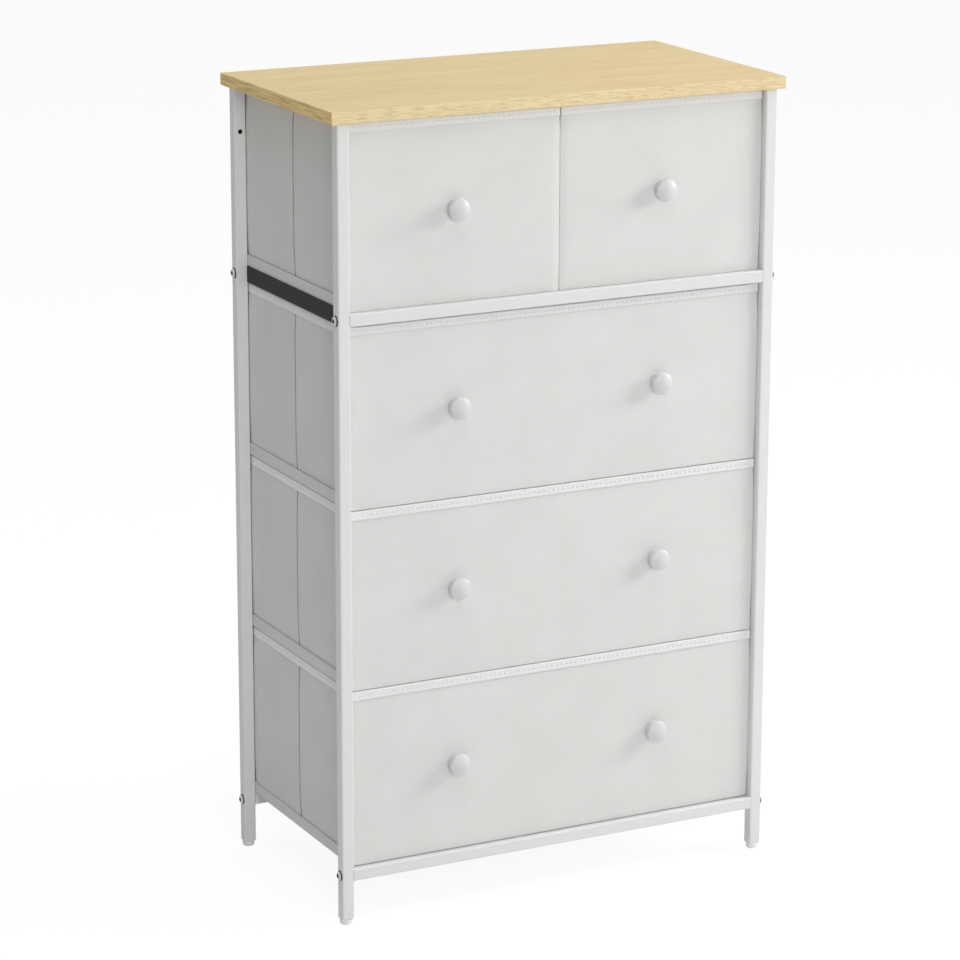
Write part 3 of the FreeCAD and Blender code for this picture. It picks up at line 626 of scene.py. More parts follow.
@dataclass(frozen=True)
class BoltPlate(PlatedSteel):
    """Nickel plate on the frame's bolts: a bright crown, with painted shade in the socket and round the
    rim.
    """

    # Where the painted shade of the socket and of the rim fades in
    socket_shade_from: float = 2.6 * MM
    socket_shade_to: float = 3.3 * MM
    rim_shade_from: float = 5.2 * MM
    rim_shade_to: float = 6.0 * MM

    def tone(self, graph: ShaderGraph, place: Signal) -> Signal:
        """How pale the plate is, from 0 to 1, by the distance from the bolt's own middle.

        Args:
            graph: the material's nodes.
            place: where a point is.

        Returns:
            The tone.
        """
        middle, span = post_places()
        low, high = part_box("frame_bolts")
        head = high.y - low.y - 2 * span.y
        half_rise = (high.z - low.z - head) / 2
        _, y, z = graph.parts(place)
        off_y = y.off_pair(middle.y, span.y)
        off_z = z.off_pair((low.z + high.z) / 2, half_rise)
        away = (off_y * off_y + off_z * off_z).root()
        # Painted shade: the plate goes dark in the socket and again towards the rim
        past_socket_shade = away.fade(self.socket_shade_from, self.socket_shade_to)
        past_rim_shade = away.fade(self.rim_shade_from, self.rim_shade_to)
        return super().tone(graph, place) * past_socket_shade * (1 - past_rim_shade)


def everything(middle: Vector, direction: Vector) -> bool:
    """Want every edge or face."""
    return True


def along_z(middle: Vector, direction: Vector) -> bool:
    """Want upright edges, or faces that look up or down."""
    return abs(direction.z) > SQUARELY


def upward(middle: Vector, direction: Vector) -> bool:
    """Want faces that look up."""
    return direction.z > SQUARELY


class Workpiece:
    """One mesh on the bench, shaped with edit mode's hand tools."""

    def __init__(self, obj: bpy.types.Object) -> None:
        """Take an object on to the bench."""
        self.obj = obj

    @classmethod
    def added(cls, name: str, tool: Tool, **settings: object) -> "Workpiece":
        """Add a primitive.

        Args:
            name: the piece's name.
            tool: the operator that adds it.
            settings: the operator's settings.

        Returns:
            The piece, with its place in its mesh.
        """
        bpy.ops.object.select_all(action="DESELECT")
        tool(**settings)
        bpy.ops.object.transform_apply(location=True, rotation=True, scale=True)
        piece = cls(bpy.context.object)
        piece.obj.name = name
        return piece

    @classmethod
    def block(cls, name: str, low: Vector, high: Vector) -> "Workpiece":
        """Start from a block between its lowest and its highest corner."""
        tool = bpy.ops.mesh.primitive_cube_add
        return cls.added(name, tool, size=1.0, location=(low + high) / 2, scale=high - low)

    @classmethod
    def rod(cls, name: str, radius: float, length: float, sides: int) -> "Workpiece":
        """Start from a rod with so many flats that lies along X, centred on the origin."""
        shape = {"vertices": sides, "radius": radius, "depth": length, "rotation": (0.0, math.pi / 2, 0.0)}
        return cls.added(name, bpy.ops.mesh.primitive_cylinder_add, **shape)

    def activate(self) -> None:
        """Select this piece alone."""
        bpy.ops.object.select_all(action="DESELECT")
        self.obj.select_set(True)
        bpy.context.view_layer.objects.active = self.obj

    def select(self, pick: Pick, test: Test) -> None:
        """Open the piece in edit mode with the wanted edges or faces selected.

        Args:
            pick: edges or faces.
            test: takes an element's middle and its direction or normal, and says whether it is wanted.
        """
        self.activate()
        bpy.ops.object.mode_set(mode="EDIT")
        bpy.ops.mesh.select_mode(type=pick.value)
        bpy.ops.mesh.select_all(action="DESELECT")
        mesh = bmesh.from_edit_mesh(self.obj.data)
        if pick is Pick.EDGES:
            for edge in mesh.edges:
                ends = [point.co for point in edge.verts]
                edge.select_set(test((ends[0] + ends[1]) / 2, (ends[1] - ends[0]).normalized()))
        else:
            for face in mesh.faces:
                face.select_set(test(face.calc_center_median(), face.normal))
        bmesh.update_edit_mesh(self.obj.data)

    def close(self) -> None:
        """Leave edit mode."""
        bpy.ops.object.mode_set(mode="OBJECT")

    def edit(self, pick: Pick, test: Test, tool: Tool, **settings: object) -> None:
        """Use one of edit mode's tools.

        Args:
            pick: whether it works on edges or faces.
            test: which of them.
            tool: the operator.
            settings: the operator's settings.
        """
        self.select(pick, test)
        tool(**settings)
        self.close()

    def open_faces(self, test: Test) -> None:
        """Take faces away and leave their edges."""
        self.edit(Pick.FACES, test, bpy.ops.mesh.delete, type="ONLY_FACE")

    def round_edges(self, test: Test, radius: float, steps: int) -> None:
        """Round edges off to a radius, in so many steps."""
        self.edit(Pick.EDGES, test, bpy.ops.mesh.bevel, offset=radius, segments=steps, affect="EDGES")

    def cut_across(self, axis: int, spots: list[float], test: Test = everything) -> None:
        """Cut the piece on planes across an axis.

        Args:
            axis: 0, 1 or 2 for X, Y or Z.
            spots: where each plane stands on the axis.
            test: which faces are cut.
        """
        normal = Vector((0.0, 0.0, 0.0))
        normal[axis] = 1.0
        for spot in spots:
            self.edit(Pick.FACES, test, bpy.ops.mesh.bisect, plane_co=normal * spot, plane_no=normal)

    def round_rim(self, test: Test, radius: float, steps: int) -> None:
        """Round the edges all round a patch of faces.

        Args:
            test: which faces make the patch.
            radius: how far the rounding reaches.
            steps: how many faces it is made of.
        """
        self.select(Pick.FACES, test)
        bpy.ops.mesh.region_to_loop()
        bpy.ops.mesh.bevel(offset=radius, segments=steps, affect="EDGES")
        self.close()

    def take_in(self, others: list["Workpiece"]) -> None:
        """Join other pieces into this one.

        Args:
            others: the pieces, which are used up.
        """
        self.activate()
        for other in others:
            other.obj.select_set(True)
        bpy.ops.object.join()

    def line_with(self, inner: "Workpiece", top: float) -> None:
        """Join an inner wall to this outer one and close the gap between their open rims.

        Args:
            inner: the inner wall, which is turned to face in and used up.
            top: how high both rims stand.
        """
        inner.edit(Pick.FACES, everything, bpy.ops.mesh.flip_normals)
        self.take_in([inner])
        self.edit(Pick.EDGES, lambda middle, along: middle.z > top - HAIR, bpy.ops.mesh.bridge_edge_loops)

    def apply(self, kind: str, settings: dict) -> None:
        """Add a modifier and apply it.

        Args:
            kind: the modifier's type.
            settings: its settings.
        """
        self.activate()
        modifier = self.obj.modifiers.new(kind.lower(), kind)
        for name, setting in settings.items():
            setattr(modifier, name, setting)
        bpy.ops.object.modifier_apply(modifier=modifier.name)

    def smooth(self, degrees: float) -> None:
        """Shade smooth, with a break at edges sharper than an angle."""
        self.activate()
        bpy.ops.object.shade_smooth_by_angle(angle=math.radians(degrees))

    def copied(self, name: str, move: Matrix) -> "Workpiece":
        """A copy with its own mesh, put in another place.

        Args:
            name: the copy's name.
            move: the change of place.

        Returns:
            The copy, with its place in its mesh.
        """
        copy = self.obj.copy()
        copy.data = self.obj.data.copy()
        copy.name = name
        copy.data.name = name
        bpy.context.scene.collection.objects.link(copy)
        copy.data.transform(move)
        return Workpiece(copy)

    def discard(self) -> None:
        """Take the piece off the bench."""
        bpy.data.objects.remove(self.obj)


def spaced(low: float, high: float, count: int) -> list[float]:
    """Spots that part the run from low to high into so many even spaces, without its ends."""
    return [low + (high - low) * step / count for step in range(1, count)]


def within(share: float) -> float:
    """A share kept between 0 and 1."""
    return min(max(share, 0.0), 1.0)


def crown(share: float, flatness: int = 4) -> float:
    """How full a stretched panel is at a share of its span, from 0 at its seams to 1 over most of it."""
    return 1.0 - abs(2.0 * within(share) - 1.0) ** flatness


def outward(spot: Vector) -> float:
    """Which way is out along X for a point of a drawer's pattern: 1 on the right, -1 on the left."""
    return 1.0 if spot.x > 0.0 else -1.0


@dataclass(frozen=True)
class Hang:
    """How far a drawer's cloth hangs.

    Its lower front edge hangs by lip, the middle of its floor by sag, its front rim by rim and the lower
    edge of the hem along its sides by band.
    """

    lip: float
    sag: float = 0.0
    rim: float = 0.0
    band: float = 0.0


@dataclass
class DrawerPattern:
    """The soft pieces of a drawer, sewn once for each width and copied to each drawer of that width.

    The pattern's origin is the middle of the bag's lower front edge.
    """

    # The bag and its walls
    width: float
    depth: float
    bag_high: float
    height: float
    knobs: tuple[float, ...]
    corner_round: float = 2.0 * MM
    base_round: float = 0.7 * MM
    inner_round: float = 2.0 * MM
    corner_steps: int = 4
    edge_steps: int = 3
    front_wall: float = 7.2 * MM
    side_wall: float = 5.2 * MM
    cell: float = 11.0 * MM
    # The lower front lip, the rolled front edges and the fold down each side, with their cuts
    lip_reach: float = 3.6 * MM
    roll_reach: float = 7.0 * MM
    roll_cuts: tuple[float, ...] = (0.2, 0.5, 0.9)
    roll_end: float = 2.0 * MM
    fold_half: float = 1.9 * MM
    fold_cuts: tuple[float, ...] = (-2.5, -1.0, -0.8, 0.0, 0.8, 1.0, 2.5)
    # The padded floor
    floor_cloth: float = 1.0 * MM
    floor_board: float = 3.0 * MM
    board_slack: float = 0.3 * MM
    pad_round: float = 1.1 * MM
    pad_cell: float = 33.0 * MM
    # The hem and its seam
    hem_high: float = 10.5 * MM
    hem_cover: float = 0.7 * MM
    hem_thick: float = 0.6 * MM
    hem_fold: float = 1.5 * MM
    hem_lap: float = 0.5 * MM
    hem_crease: float = 2.4 * MM
    seam_drop: float = 5.6 * MM
    seam_half: float = 0.8 * MM
    # The stitches
    stitch_long: float = 4.3 * MM
    stitch_thick: float = 1.5 * MM
    stitch_pitch: float = 6.5 * MM
    stitch_slant: float = 7.0
    stitch_sides: int = 6
    stitch_dip: float = 0.3
    stitch_taper: Place = (1.0, 0.5, 0.4)

    def reach(self) -> float:
        """How far each side of the bag stands from its middle."""
        return self.width / 2

    def outer_box(self, grow: float, bottom: float, top: float) -> tuple[Vector, Vector]:
        """Corners of the bag's outside between two heights, let out all round by grow."""
        side = self.reach() + grow
        return Vector((-side, -grow, bottom)), Vector((side, self.depth + grow, top))

    def inner_box(self, shrink: float, bottom: float, top: float) -> tuple[Vector, Vector]:
        """Corners of the bag's inside between two heights, drawn in all round by shrink."""
        side, back = (span - self.side_wall - shrink for span in (self.reach(), self.depth))
        return Vector((-side, self.front_wall + shrink, bottom)), Vector((side, back, top))

    def hem_edge(self) -> float:
        """How high the lower edge of the hem stands."""
        return self.height - self.hem_high

    def seam_level(self) -> float:
        """How high the seam of the hem stands."""
        return self.height - self.seam_drop

    def seam_runs(self) -> tuple[float, float]:
        """How long the seam runs straight, across the drawer and along a side."""
        return self.width - 2 * self.corner_round, self.depth - 2 * self.corner_round

    def seam_steps(self, length: float) -> int:
        """How many stitches a straight seam of a length takes."""
        return round(length / self.stitch_pitch)

    def shell(self, name: str, box: tuple[Vector, Vector], corner: float, base: float) -> Workpiece:
        """An open box of cloth with round corners, cut into cells so that it can be shaped.

        Args:
            name: the piece's name.
            box: its two opposite corners.
            corner: radius of its upright corners.
            base: radius of its lower edges.

        Returns:
            The shell, open at the top.
        """
        low, high = box
        piece = Workpiece.block(name, low, high)
        piece.open_faces(upward)
        piece.round_edges(along_z, corner, self.corner_steps)
        piece.round_edges(lambda middle, along: middle.z < low.z + HAIR, base, self.edge_steps)
        rolls = [corner + share * self.roll_reach for share in self.roll_cuts]
        near_corners = [low.x + roll for roll in rolls] + [high.x - roll for roll in rolls]
        columns = spaced(low.x + corner, high.x - corner, round(self.width / self.cell))
        piece.cut_across(0, columns + near_corners)
        fold = (low.y + high.y) / 2
        creases = [fold + share * self.fold_half for share in self.fold_cuts]
        half_rows = round(self.depth / self.cell / 2)
        front_half = spaced(low.y + corner, creases[0], half_rows)
        rear_half = spaced(creases[-1], high.y - corner, half_rows)
        piece.cut_across(1, front_half + creases + rear_half)
        rows = spaced(low.z + base, high.z, round(self.bag_high / self.cell))
        piece.cut_across(2, rows + [self.hem_edge() - self.roll_end, self.hem_edge() + self.hem_lap])
        return piece

    def sew_bag(self) -> Workpiece:
        """Sew the outer and inner cloth of the bag, joined round the rim.

        Returns:
            The bag.
        """
        outside = self.outer_box(0.0, 0.0, self.bag_high)
        bag = self.shell("bag", outside, self.corner_round, self.base_round)
        bag.cut_across(1, [self.lip_reach], lambda middle, facing: middle.z < self.base_round)
        inside = self.inner_box(0.0, self.floor_cloth, self.bag_high)
        bag.line_with(self.shell("lining", inside, self.inner_round, self.inner_round), self.bag_high)
        return bag

    def ring(self, name: str, box: tuple[Vector, Vector], corner: float) -> Workpiece:
        """A band of tape that stands on edge round the drawer, cut at every stitch and between.

        Args:
            name: the piece's name.
            box: its two opposite corners.
            corner: radius of its corners.

        Returns:
            The band, open above and below.
        """
        low, high = box
        piece = Workpiece.block(name, low, high)
        piece.open_faces(along_z)
        piece.round_edges(along_z, corner, self.corner_steps)
        for axis, run in enumerate(self.seam_runs()):
            steps = 2 * self.seam_steps(run)
            piece.cut_across(axis, spaced(low[axis] + corner, high[axis] - corner, steps))
        seam = self.seam_level()
        piece.cut_across(2, [low.z + self.hem_crease, seam - self.seam_half, seam + self.seam_half])
        return piece

    def sew_hem(self) -> Workpiece:
        """Fold tape over the rim, with a soft fold and the thickness of the cloth.

        Returns:
            The hem.
        """
        bottom = self.hem_edge()
        hem = self.ring("hem", self.outer_box(self.hem_cover, bottom, self.height), self.corner_round)
        inside = self.inner_box(self.hem_cover, bottom, self.height)
        hem.line_with(self.ring("hem_inside", inside, self.inner_round), self.height)
        hem.round_rim(upward, self.hem_fold, self.edge_steps)
        hem.apply("SOLIDIFY", {"thickness": self.hem_thick, "offset": -1.0})
        return hem

    def sew_floor(self) -> Workpiece:
        """Cover the board that lies on the bag's floor with cloth.

        Returns:
            The padded floor.
        """
        bottom = self.floor_cloth
        low, high = self.inner_box(self.board_slack, bottom, bottom + self.floor_board)
        pad = Workpiece.block("floor_pad", low, high)
        pad.round_edges(along_z, self.inner_round, self.edge_steps)
        pad.round_edges(lambda middle, along: middle.z > high.z - HAIR, self.pad_round, self.edge_steps)
        for axis, run in enumerate((self.width, self.depth)):
            pad.cut_across(axis, spaced(low[axis], high[axis], round(run / self.pad_cell)))
        return pad

    def one_stitch(self) -> Workpiece:
        """Make a single stitch: a short plump thread that dips into the cloth at both ends.

        Returns:
            The stitch, along X on cloth that faces up.
        """
        stitch = Workpiece.rod("stitch", self.stitch_thick / 2, self.stitch_long / 2, self.stitch_sides)
        for side in (-1.0, 1.0):
            stitch.select(Pick.FACES, lambda middle, facing: facing.x * side > SQUARELY)
            move = (side * self.stitch_long / 4, 0.0, -self.stitch_thick * self.stitch_dip)
            bpy.ops.mesh.extrude_region_move(TRANSFORM_OT_translate={"value": move})
            bpy.ops.transform.resize(value=self.stitch_taper)
            stitch.close()
        stitch.obj.data.transform(Matrix.Rotation(math.radians(self.stitch_slant), 4, "Z"))
        return stitch

    def stitch_row(
        self, stitch: Workpiece, start: Vector, along: Vector, out: Vector, length: float
    ) -> Workpiece:
        """A straight seam of stitches.

        Args:
            stitch: the single stitch.
            start: one end of the seam.
            along: which way it runs.
            out: which way the cloth faces.
            length: how long it is.

        Returns:
            The stitches of the seam as one piece.
        """
        turn = Matrix((along, out.cross(along), out)).transposed().to_4x4()
        row = stitch.copied("row", Matrix())
        count = self.seam_steps(length)
        pitch = length / count
        settings = {
            "count": count,
            "use_relative_offset": False,
            "use_constant_offset": True,
            "constant_offset_displace": (pitch, 0.0, 0.0),
        }
        row.apply("ARRAY", settings)
        row.obj.data.transform(Matrix.Translation(start + along * pitch / 2) @ turn)
        return row

    def sew_stitches(self) -> Workpiece:
        """Sew seams round the hem, outside and inside.

        Returns:
            All stitches as one piece.
        """
        stitch = self.one_stitch()
        level = self.seam_level()
        across, along = self.seam_runs()
        right = Vector((1.0, 0.0, 0.0))
        back = Vector((0.0, 1.0, 0.0))
        sets = (
            (self.outer_box(self.hem_cover, level, level), 1.0),
            (self.inner_box(self.hem_cover, level, level), -1.0),
        )
        rows = []
        for (low, high), sense in sets:
            for corner, out in ((low, -sense), (high, sense)):
                start = Vector((-across / 2, corner.y, level))
                rows.append(self.stitch_row(stitch, start, right, back * out, across))
                start = Vector((corner.x, (low.y + high.y - along) / 2, level))
                rows.append(self.stitch_row(stitch, start, back, right * out, along))
        stitch.discard()
        seam = rows.pop()
        seam.take_in(rows)
        return seam


@dataclass
class Fitting:
    """How one drawer's cloth settles, once its pieces are copied from the pattern to their place.

    A spot is a point's place in the pattern, and where is its place in the dresser.
    """

    cut: DrawerPattern
    place: Vector
    hang: Hang
    # How full the walls are, and how flat along their middle
    fullness: float = 0.7 * MM
    post_fullness: float = 1.8 * MM
    middle_fullness: float = 1.05 * MM
    corner_fullness: float = 0.1 * MM
    side_flatness: int = 24
    post_flatness: int = 6
    middle_flatness: int = 40
    runner_high: float = 15.0 * MM
    panel_margin: float = 3.0 * MM
    # Ripples in the cloth, and puckers near the hem: waves per metre and height
    ripples: float = 16.0
    ripple_high: float = 0.3 * MM
    side_ripple: float = 0.4
    puckers: float = 120.0
    pucker_high: float = 0.15 * MM
    pucker_reach: float = 8.0 * MM
    # Dimples round the knobs, the rolled front edges and the fold down each side
    knob_dimple: float = 17.0 * MM
    edge_roll: float = 0.8 * MM
    fold_deep: float = 4.0 * MM
    fold_core: float = 0.9
    fold_lining: float = 0.1
    # How the rim leans, and how the hem puckers between its stitches
    rim_lean: float = 0.9 * MM
    rim_margin: float = 2.0 * MM
    corner_reach: float = 14.0 * MM
    seam_reach: float = 4.0 * MM
    plump: float = 0.25 * MM
    plump_change: float = 0.1 * MM
    plumps: float = 90.0
    needle_dip: float = 0.45 * MM
    needle_reach: float = 1.6 * MM
    needle_fade: float = 1.0 * MM
    stand_off: float = 0.4 * MM

    def settle(self, bag: Workpiece) -> None:
        """Let the bag's cloth fill out over its boards, crease at its folds and hang a little.

        Args:
            bag: the bag, in its place.
        """
        # Mark the points in the side folds, where the cloth gets painted shade
        creases = bag.obj.data.attributes.new(CREASE_SHADE, "FLOAT", "POINT")
        for index, point in enumerate(bag.obj.data.vertices):
            spot = point.co - self.place
            on_side = abs(abs(spot.x) - self.cut.reach()) < HAIR
            creases.data[index].value = float(on_side and self.in_fold(spot))
            point.co += self.swell(spot, point.co)
            point.co.z -= self.droop(spot)

    def in_fold(self, spot: Vector) -> bool:
        """Whether a point of a side wall lies in its fold."""
        return abs(spot.y - self.cut.depth / 2) < self.fold_core * self.cut.fold_half

    def swell(self, spot: Vector, where: Vector) -> Vector:
        """How far a point of the bag's walls moves out or in.

        Args:
            spot: the point in the pattern.
            where: the point in the dresser.

        Returns:
            The move.
        """
        cut = self.cut
        reach = cut.reach()
        panel_top = cut.bag_high - cut.hem_high - self.panel_margin
        up = crown(spot.z / panel_top)
        across = crown((spot.x + reach) / cut.width)
        ripple = noise.noise(where * self.ripples) * self.ripple_high
        from_hem = abs(spot.z - panel_top) / self.pucker_reach
        pucker = noise.noise(where * self.puckers) * self.pucker_high * math.exp(-from_hem)
        full = (self.fullness + ripple) * across * up + pucker * across
        if spot.y < cut.corner_round + HAIR and abs(spot.x) > reach - cut.corner_round - HAIR:
            return self.corner_swell(spot, where)
        if abs(spot.y) < HAIR:
            pulls = [math.hypot(spot.x - knob, spot.z - cut.height / 2) for knob in cut.knobs]
            dimple = math.exp(-((min(pulls) / self.knob_dimple) ** 2))
            return Vector((0.0, self.roll_back(spot) - full * (1.0 - dimple), 0.0))
        if abs(spot.y - cut.depth) < HAIR:
            return Vector((0.0, full, 0.0))
        outer_side = abs(abs(spot.x) - reach) < HAIR
        inner_side = abs(abs(spot.x) - reach + cut.side_wall) < HAIR
        if outer_side or inner_side:
            return self.side_swell(spot, where, self.side_ripple * ripple, outer_side)
        return Vector()

    def side_swell(self, spot: Vector, where: Vector, ripple: float, outer: bool) -> Vector:
        """How far a point of the bag's side walls moves out, or in at the fold.

        Args:
            spot: the point in the pattern.
            where: the point in the dresser.
            ripple: the cloth's own unevenness.
            outer: whether it is on the outer cloth.

        Returns:
            The move.
        """
        crease = self.fold_deep if self.in_fold(spot) else 0.0
        if not outer:
            return Vector((outward(spot) * self.fold_lining * crease, 0.0, 0.0))
        along = crown(spot.y / self.cut.depth, self.side_flatness)
        out = (self.side_room(spot, where) + ripple) * along - crease
        return Vector((outward(spot) * out, 0.0, 0.0))

    def corner_swell(self, spot: Vector, where: Vector) -> Vector:
        """How far a point of the bag's front corners moves out to the side and back.

        Args:
            spot: the point in the pattern.
            where: the point in the dresser.

        Returns:
            The move.
        """
        out = self.side_room(spot, where)
        if where.x * spot.x > 0.0:
            out += self.corner_fullness * out / self.post_fullness
        back = self.roll_back(spot) * within(1.0 - spot.y / self.cut.corner_round)
        return Vector((outward(spot) * out, back, 0.0))

    def roll_back(self, spot: Vector) -> float:
        """How far the front wall rolls back towards its upright edges, below the hem.

        Args:
            spot: the point in the pattern.

        Returns:
            The move back.
        """
        from_edge = (self.cut.reach() - self.cut.corner_round - abs(spot.x)) / self.cut.roll_reach
        below_hem = within((self.cut.hem_edge() - spot.z) / self.cut.roll_end)
        return self.edge_roll * within(1.0 - from_edge) ** 2 * below_hem

    def side_room(self, spot: Vector, where: Vector) -> float:
        """How far a side wall fills the gap to the posts, or to the drawer beside it.

        Args:
            spot: the point in the pattern.
            where: the point in the dresser.

        Returns:
            The fullness at the point's height.
        """
        top = self.cut.hem_edge()
        if where.x * spot.x < 0.0:
            return self.middle_fullness * crown((spot.z + top) / (2 * top), self.middle_flatness)
        above_runner = (spot.z - self.runner_high) / (top - self.runner_high)
        return self.post_fullness * crown(above_runner, self.post_flatness)

    def droop(self, spot: Vector) -> float:
        """How far a point of the bag's lower edge or floor hangs down.

        Args:
            spot: the point in the pattern.

        Returns:
            The drop.
        """
        cut = self.cut
        edge = within((cut.lip_reach - spot.y) / (cut.lip_reach - cut.base_round))
        low = within(1.0 - (spot.z - cut.base_round) / cut.cell)
        on_floor = spot.z < cut.floor_cloth + HAIR
        middle = crown((spot.x + cut.reach()) / cut.width) * crown(spot.y / cut.depth)
        return self.hang.lip * edge * low + (self.hang.sag * middle if on_floor else 0.0)

    def at_side(self, spot: Vector) -> bool:
        """Whether a point of the rim belongs to one of the sides."""
        return abs(spot.x) > self.cut.reach() - self.cut.side_wall - self.rim_margin

    def from_corner(self, spot: Vector) -> float:
        """How far along a side a point is clear of the corners, from 0 to 1."""
        return within(min(spot.y, self.cut.depth - spot.y) / self.corner_reach)

    def lean_rim(self, piece: Workpiece) -> None:
        """Let the side rims of a piece lean in towards their top, and its front rim hang.

        Args:
            piece: the bag, the hem or its stitches, in its place.
        """
        for point in piece.obj.data.vertices:
            spot = point.co - self.place
            rise = within((spot.z - self.cut.hem_edge()) / self.cut.hem_high)
            if self.at_side(spot):
                point.co.x -= outward(spot) * self.rim_lean * self.from_corner(spot) * rise
            if spot.y < self.cut.front_wall + self.rim_margin:
                from_end = within((self.cut.reach() - abs(spot.x)) / self.corner_reach)
                point.co.z -= self.hang.rim * rise * from_end

    def pucker_hem(self, hem: Workpiece) -> None:
        """Let the hem swell between its stitches, dip where the thread goes in and stand off below.

        Args:
            hem: the hem, in its place.
        """
        seam = self.cut.seam_level()
        across, along = self.cut.seam_runs()
        holes = hem.obj.data.attributes.new(NEEDLE_SHADE, "FLOAT", "POINT")
        for index, point in enumerate(hem.obj.data.vertices):
            spot = point.co - self.place
            off_seam = abs(spot.z - seam)
            far = within(off_seam / self.seam_reach)
            side = self.at_side(spot)
            length = along if side else across
            start = spot.y - self.cut.corner_round if side else spot.x + across / 2
            beat = start / length * self.cut.seam_steps(length)
            dip = 0.5 + 0.5 * math.cos(2 * math.pi * beat)
            plump = self.plump + self.plump_change * noise.noise(point.co * self.plumps)
            swell = plump * far - self.needle_dip * dip * (1.0 - far)
            # Mark the needle's holes near the seam, where the tape gets painted shade
            holes.data[index].value = dip * within((self.needle_reach - off_seam) / self.needle_fade)
            below = within((seam - spot.z) / self.seam_reach)
            if spot.y < self.cut.front_wall / 2:
                point.co.y -= swell + self.stand_off * below
            elif spot.y > self.cut.depth - self.cut.side_wall / 2:
                point.co.y += swell
            elif abs(spot.x) > self.cut.reach() - self.cut.side_wall / 2:
                point.co.x += outward(spot) * swell
                point.co.z -= self.hang.band * below * self.from_corner(spot)


@dataclass(frozen=True)
class Wardrobe:
    """Every finish of the dresser."""

    board: Finish = WoodLook("maple_look_foil", (0.80, 0.64, 0.35), (0.70, 0.53, 0.25), 0.46)
    coat: Finish = PowderCoat("white_powder_coat", (0.77, 0.77, 0.765), (0.73, 0.73, 0.725), 0.38)
    # The frame's white coat again, painted darker on the runners as their shade
    runner_coat_painted_shade: Finish = PowderCoat("white_powder_coat_painted_shade", (0.68, 0.68, 0.675), (0.64, 0.64, 0.635), 0.45)
    plate: Finish = PlatedSteel("nickel_plate", (0.62, 0.61, 0.58), (0.4, 0.39, 0.37), 0.26)
    # Its dark tone is the painted shade in the bolts' sockets and round their rims
    bolt: Finish = BoltPlate("bolt_plate", (0.98, 0.97, 0.96), (0.05, 0.05, 0.05), 0.28)
    # The panel between the upper rails, coloured near black to stand in for the deep shade in the gap
    # there
    panel: Finish = Fibreboard("near_black_board_painted_shade", (0.05, 0.05, 0.05), (0.035, 0.035, 0.035), 0.7, 0.12)
    cloth: Finish = WovenCloth("pale_cloth", (0.765, 0.765, 0.75), (0.68, 0.68, 0.665), 0.86)
    tape: Finish = TwillTape("binding_tape", (0.83, 0.83, 0.82), (0.74, 0.74, 0.73), 0.8)
    # The binding tape again for the small drawers, a little paler and bluer at the front, with its sides
    # painted darker as the shade under the board
    board_shaded_tape: Finish = TwillTape(
        "binding_tape_painted_board_shade", (0.85, 0.86, 0.875), (0.76, 0.77, 0.785), 0.8, painted_side_tone=(0.72, 0.72, 0.71)
    )
    thread: Finish = SewingThread("white_thread", (0.9, 0.9, 0.89), (0.78, 0.78, 0.77), 0.6)
    stiffener: Finish = Fibreboard("hardboard", (0.36, 0.28, 0.19), (0.22, 0.165, 0.11), 0.75)
    knob: Finish = MouldedPlastic("white_knob_plastic", (0.675, 0.675, 0.675), (0.635, 0.635, 0.635), 0.34)
    foot: Finish = MouldedPlastic("pale_foot_plastic", (0.88, 0.88, 0.87), (0.82, 0.82, 0.81), 0.5)
    insert: Finish = MouldedPlastic("black_insert_plastic", (0.06, 0.06, 0.06), (0.04, 0.04, 0.04), 0.5)


class Paintbox:
    """Makes each finish's material once and puts it on pieces."""

    def __init__(self) -> None:
        """Start with no material made."""
        self.made: dict[str, bpy.types.Material] = {}

    def coat(self, obj: bpy.types.Object, finish: Finish) -> None:
        """Give an object one finish all over.

        Args:
            obj: the object.
            finish: its finish.
        """
        if finish.name not in self.made:
            self.made[finish.name] = finish.material()
        obj.data.materials.clear()
        obj.data.materials.append(self.made[finish.name])

    def coat_node(self, node: str, finish: Finish) -> None:
        """Give a node of the frame one finish and report it."""
        self.coat(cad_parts[node], finish)
        log.info("%s: %s", node, finish.name)


@dataclass
class TubeFrame:
    """Posts, rails and runners with their bolts and feet, and the dark panel between the upper rails."""

    finishes: Wardrobe
    sides: tuple[str, ...] = ("left", "right")
    ends: tuple[str, ...] = ("front", "rear")
    rail_rows: tuple[str, ...] = ("lower", "upper")
    runner_rows: tuple[str, ...] = ("lower", "middle", "upper", "top")

    def dress(self, paints: Paintbox) -> None:
        """Give every piece of the frame its finish.

        Args:
            paints: where the materials come from.
        """
        for side in self.sides:
            for end in self.ends:
                paints.coat_node(f"{side}_{end}_post", self.finishes.coat)
                paints.coat_node(f"{side}_{end}_foot", self.finishes.foot)
            for row in self.runner_rows:
                paints.coat_node(f"{side}_{row}_runner", self.finishes.runner_coat_painted_shade)
        for end in self.ends:
            for row in self.rail_rows:
                paints.coat_node(f"{end}_{row}_rail", self.finishes.coat)
        paints.coat_node("frame_bolts", self.finishes.bolt)
        paints.coat_node("top_screws", self.finishes.plate)
        paints.coat_node("foot_inserts", self.finishes.insert)
        # The panel's near-black colour is painted shade
        paints.coat_node("divider_panel", self.finishes.panel)


@dataclass
class BoardTop:
    """The wood-look board on top."""

    finishes: Wardrobe

    def dress(self, paints: Paintbox) -> None:
        """Give the board its foil."""
        paints.coat_node("top_board", self.finishes.board)


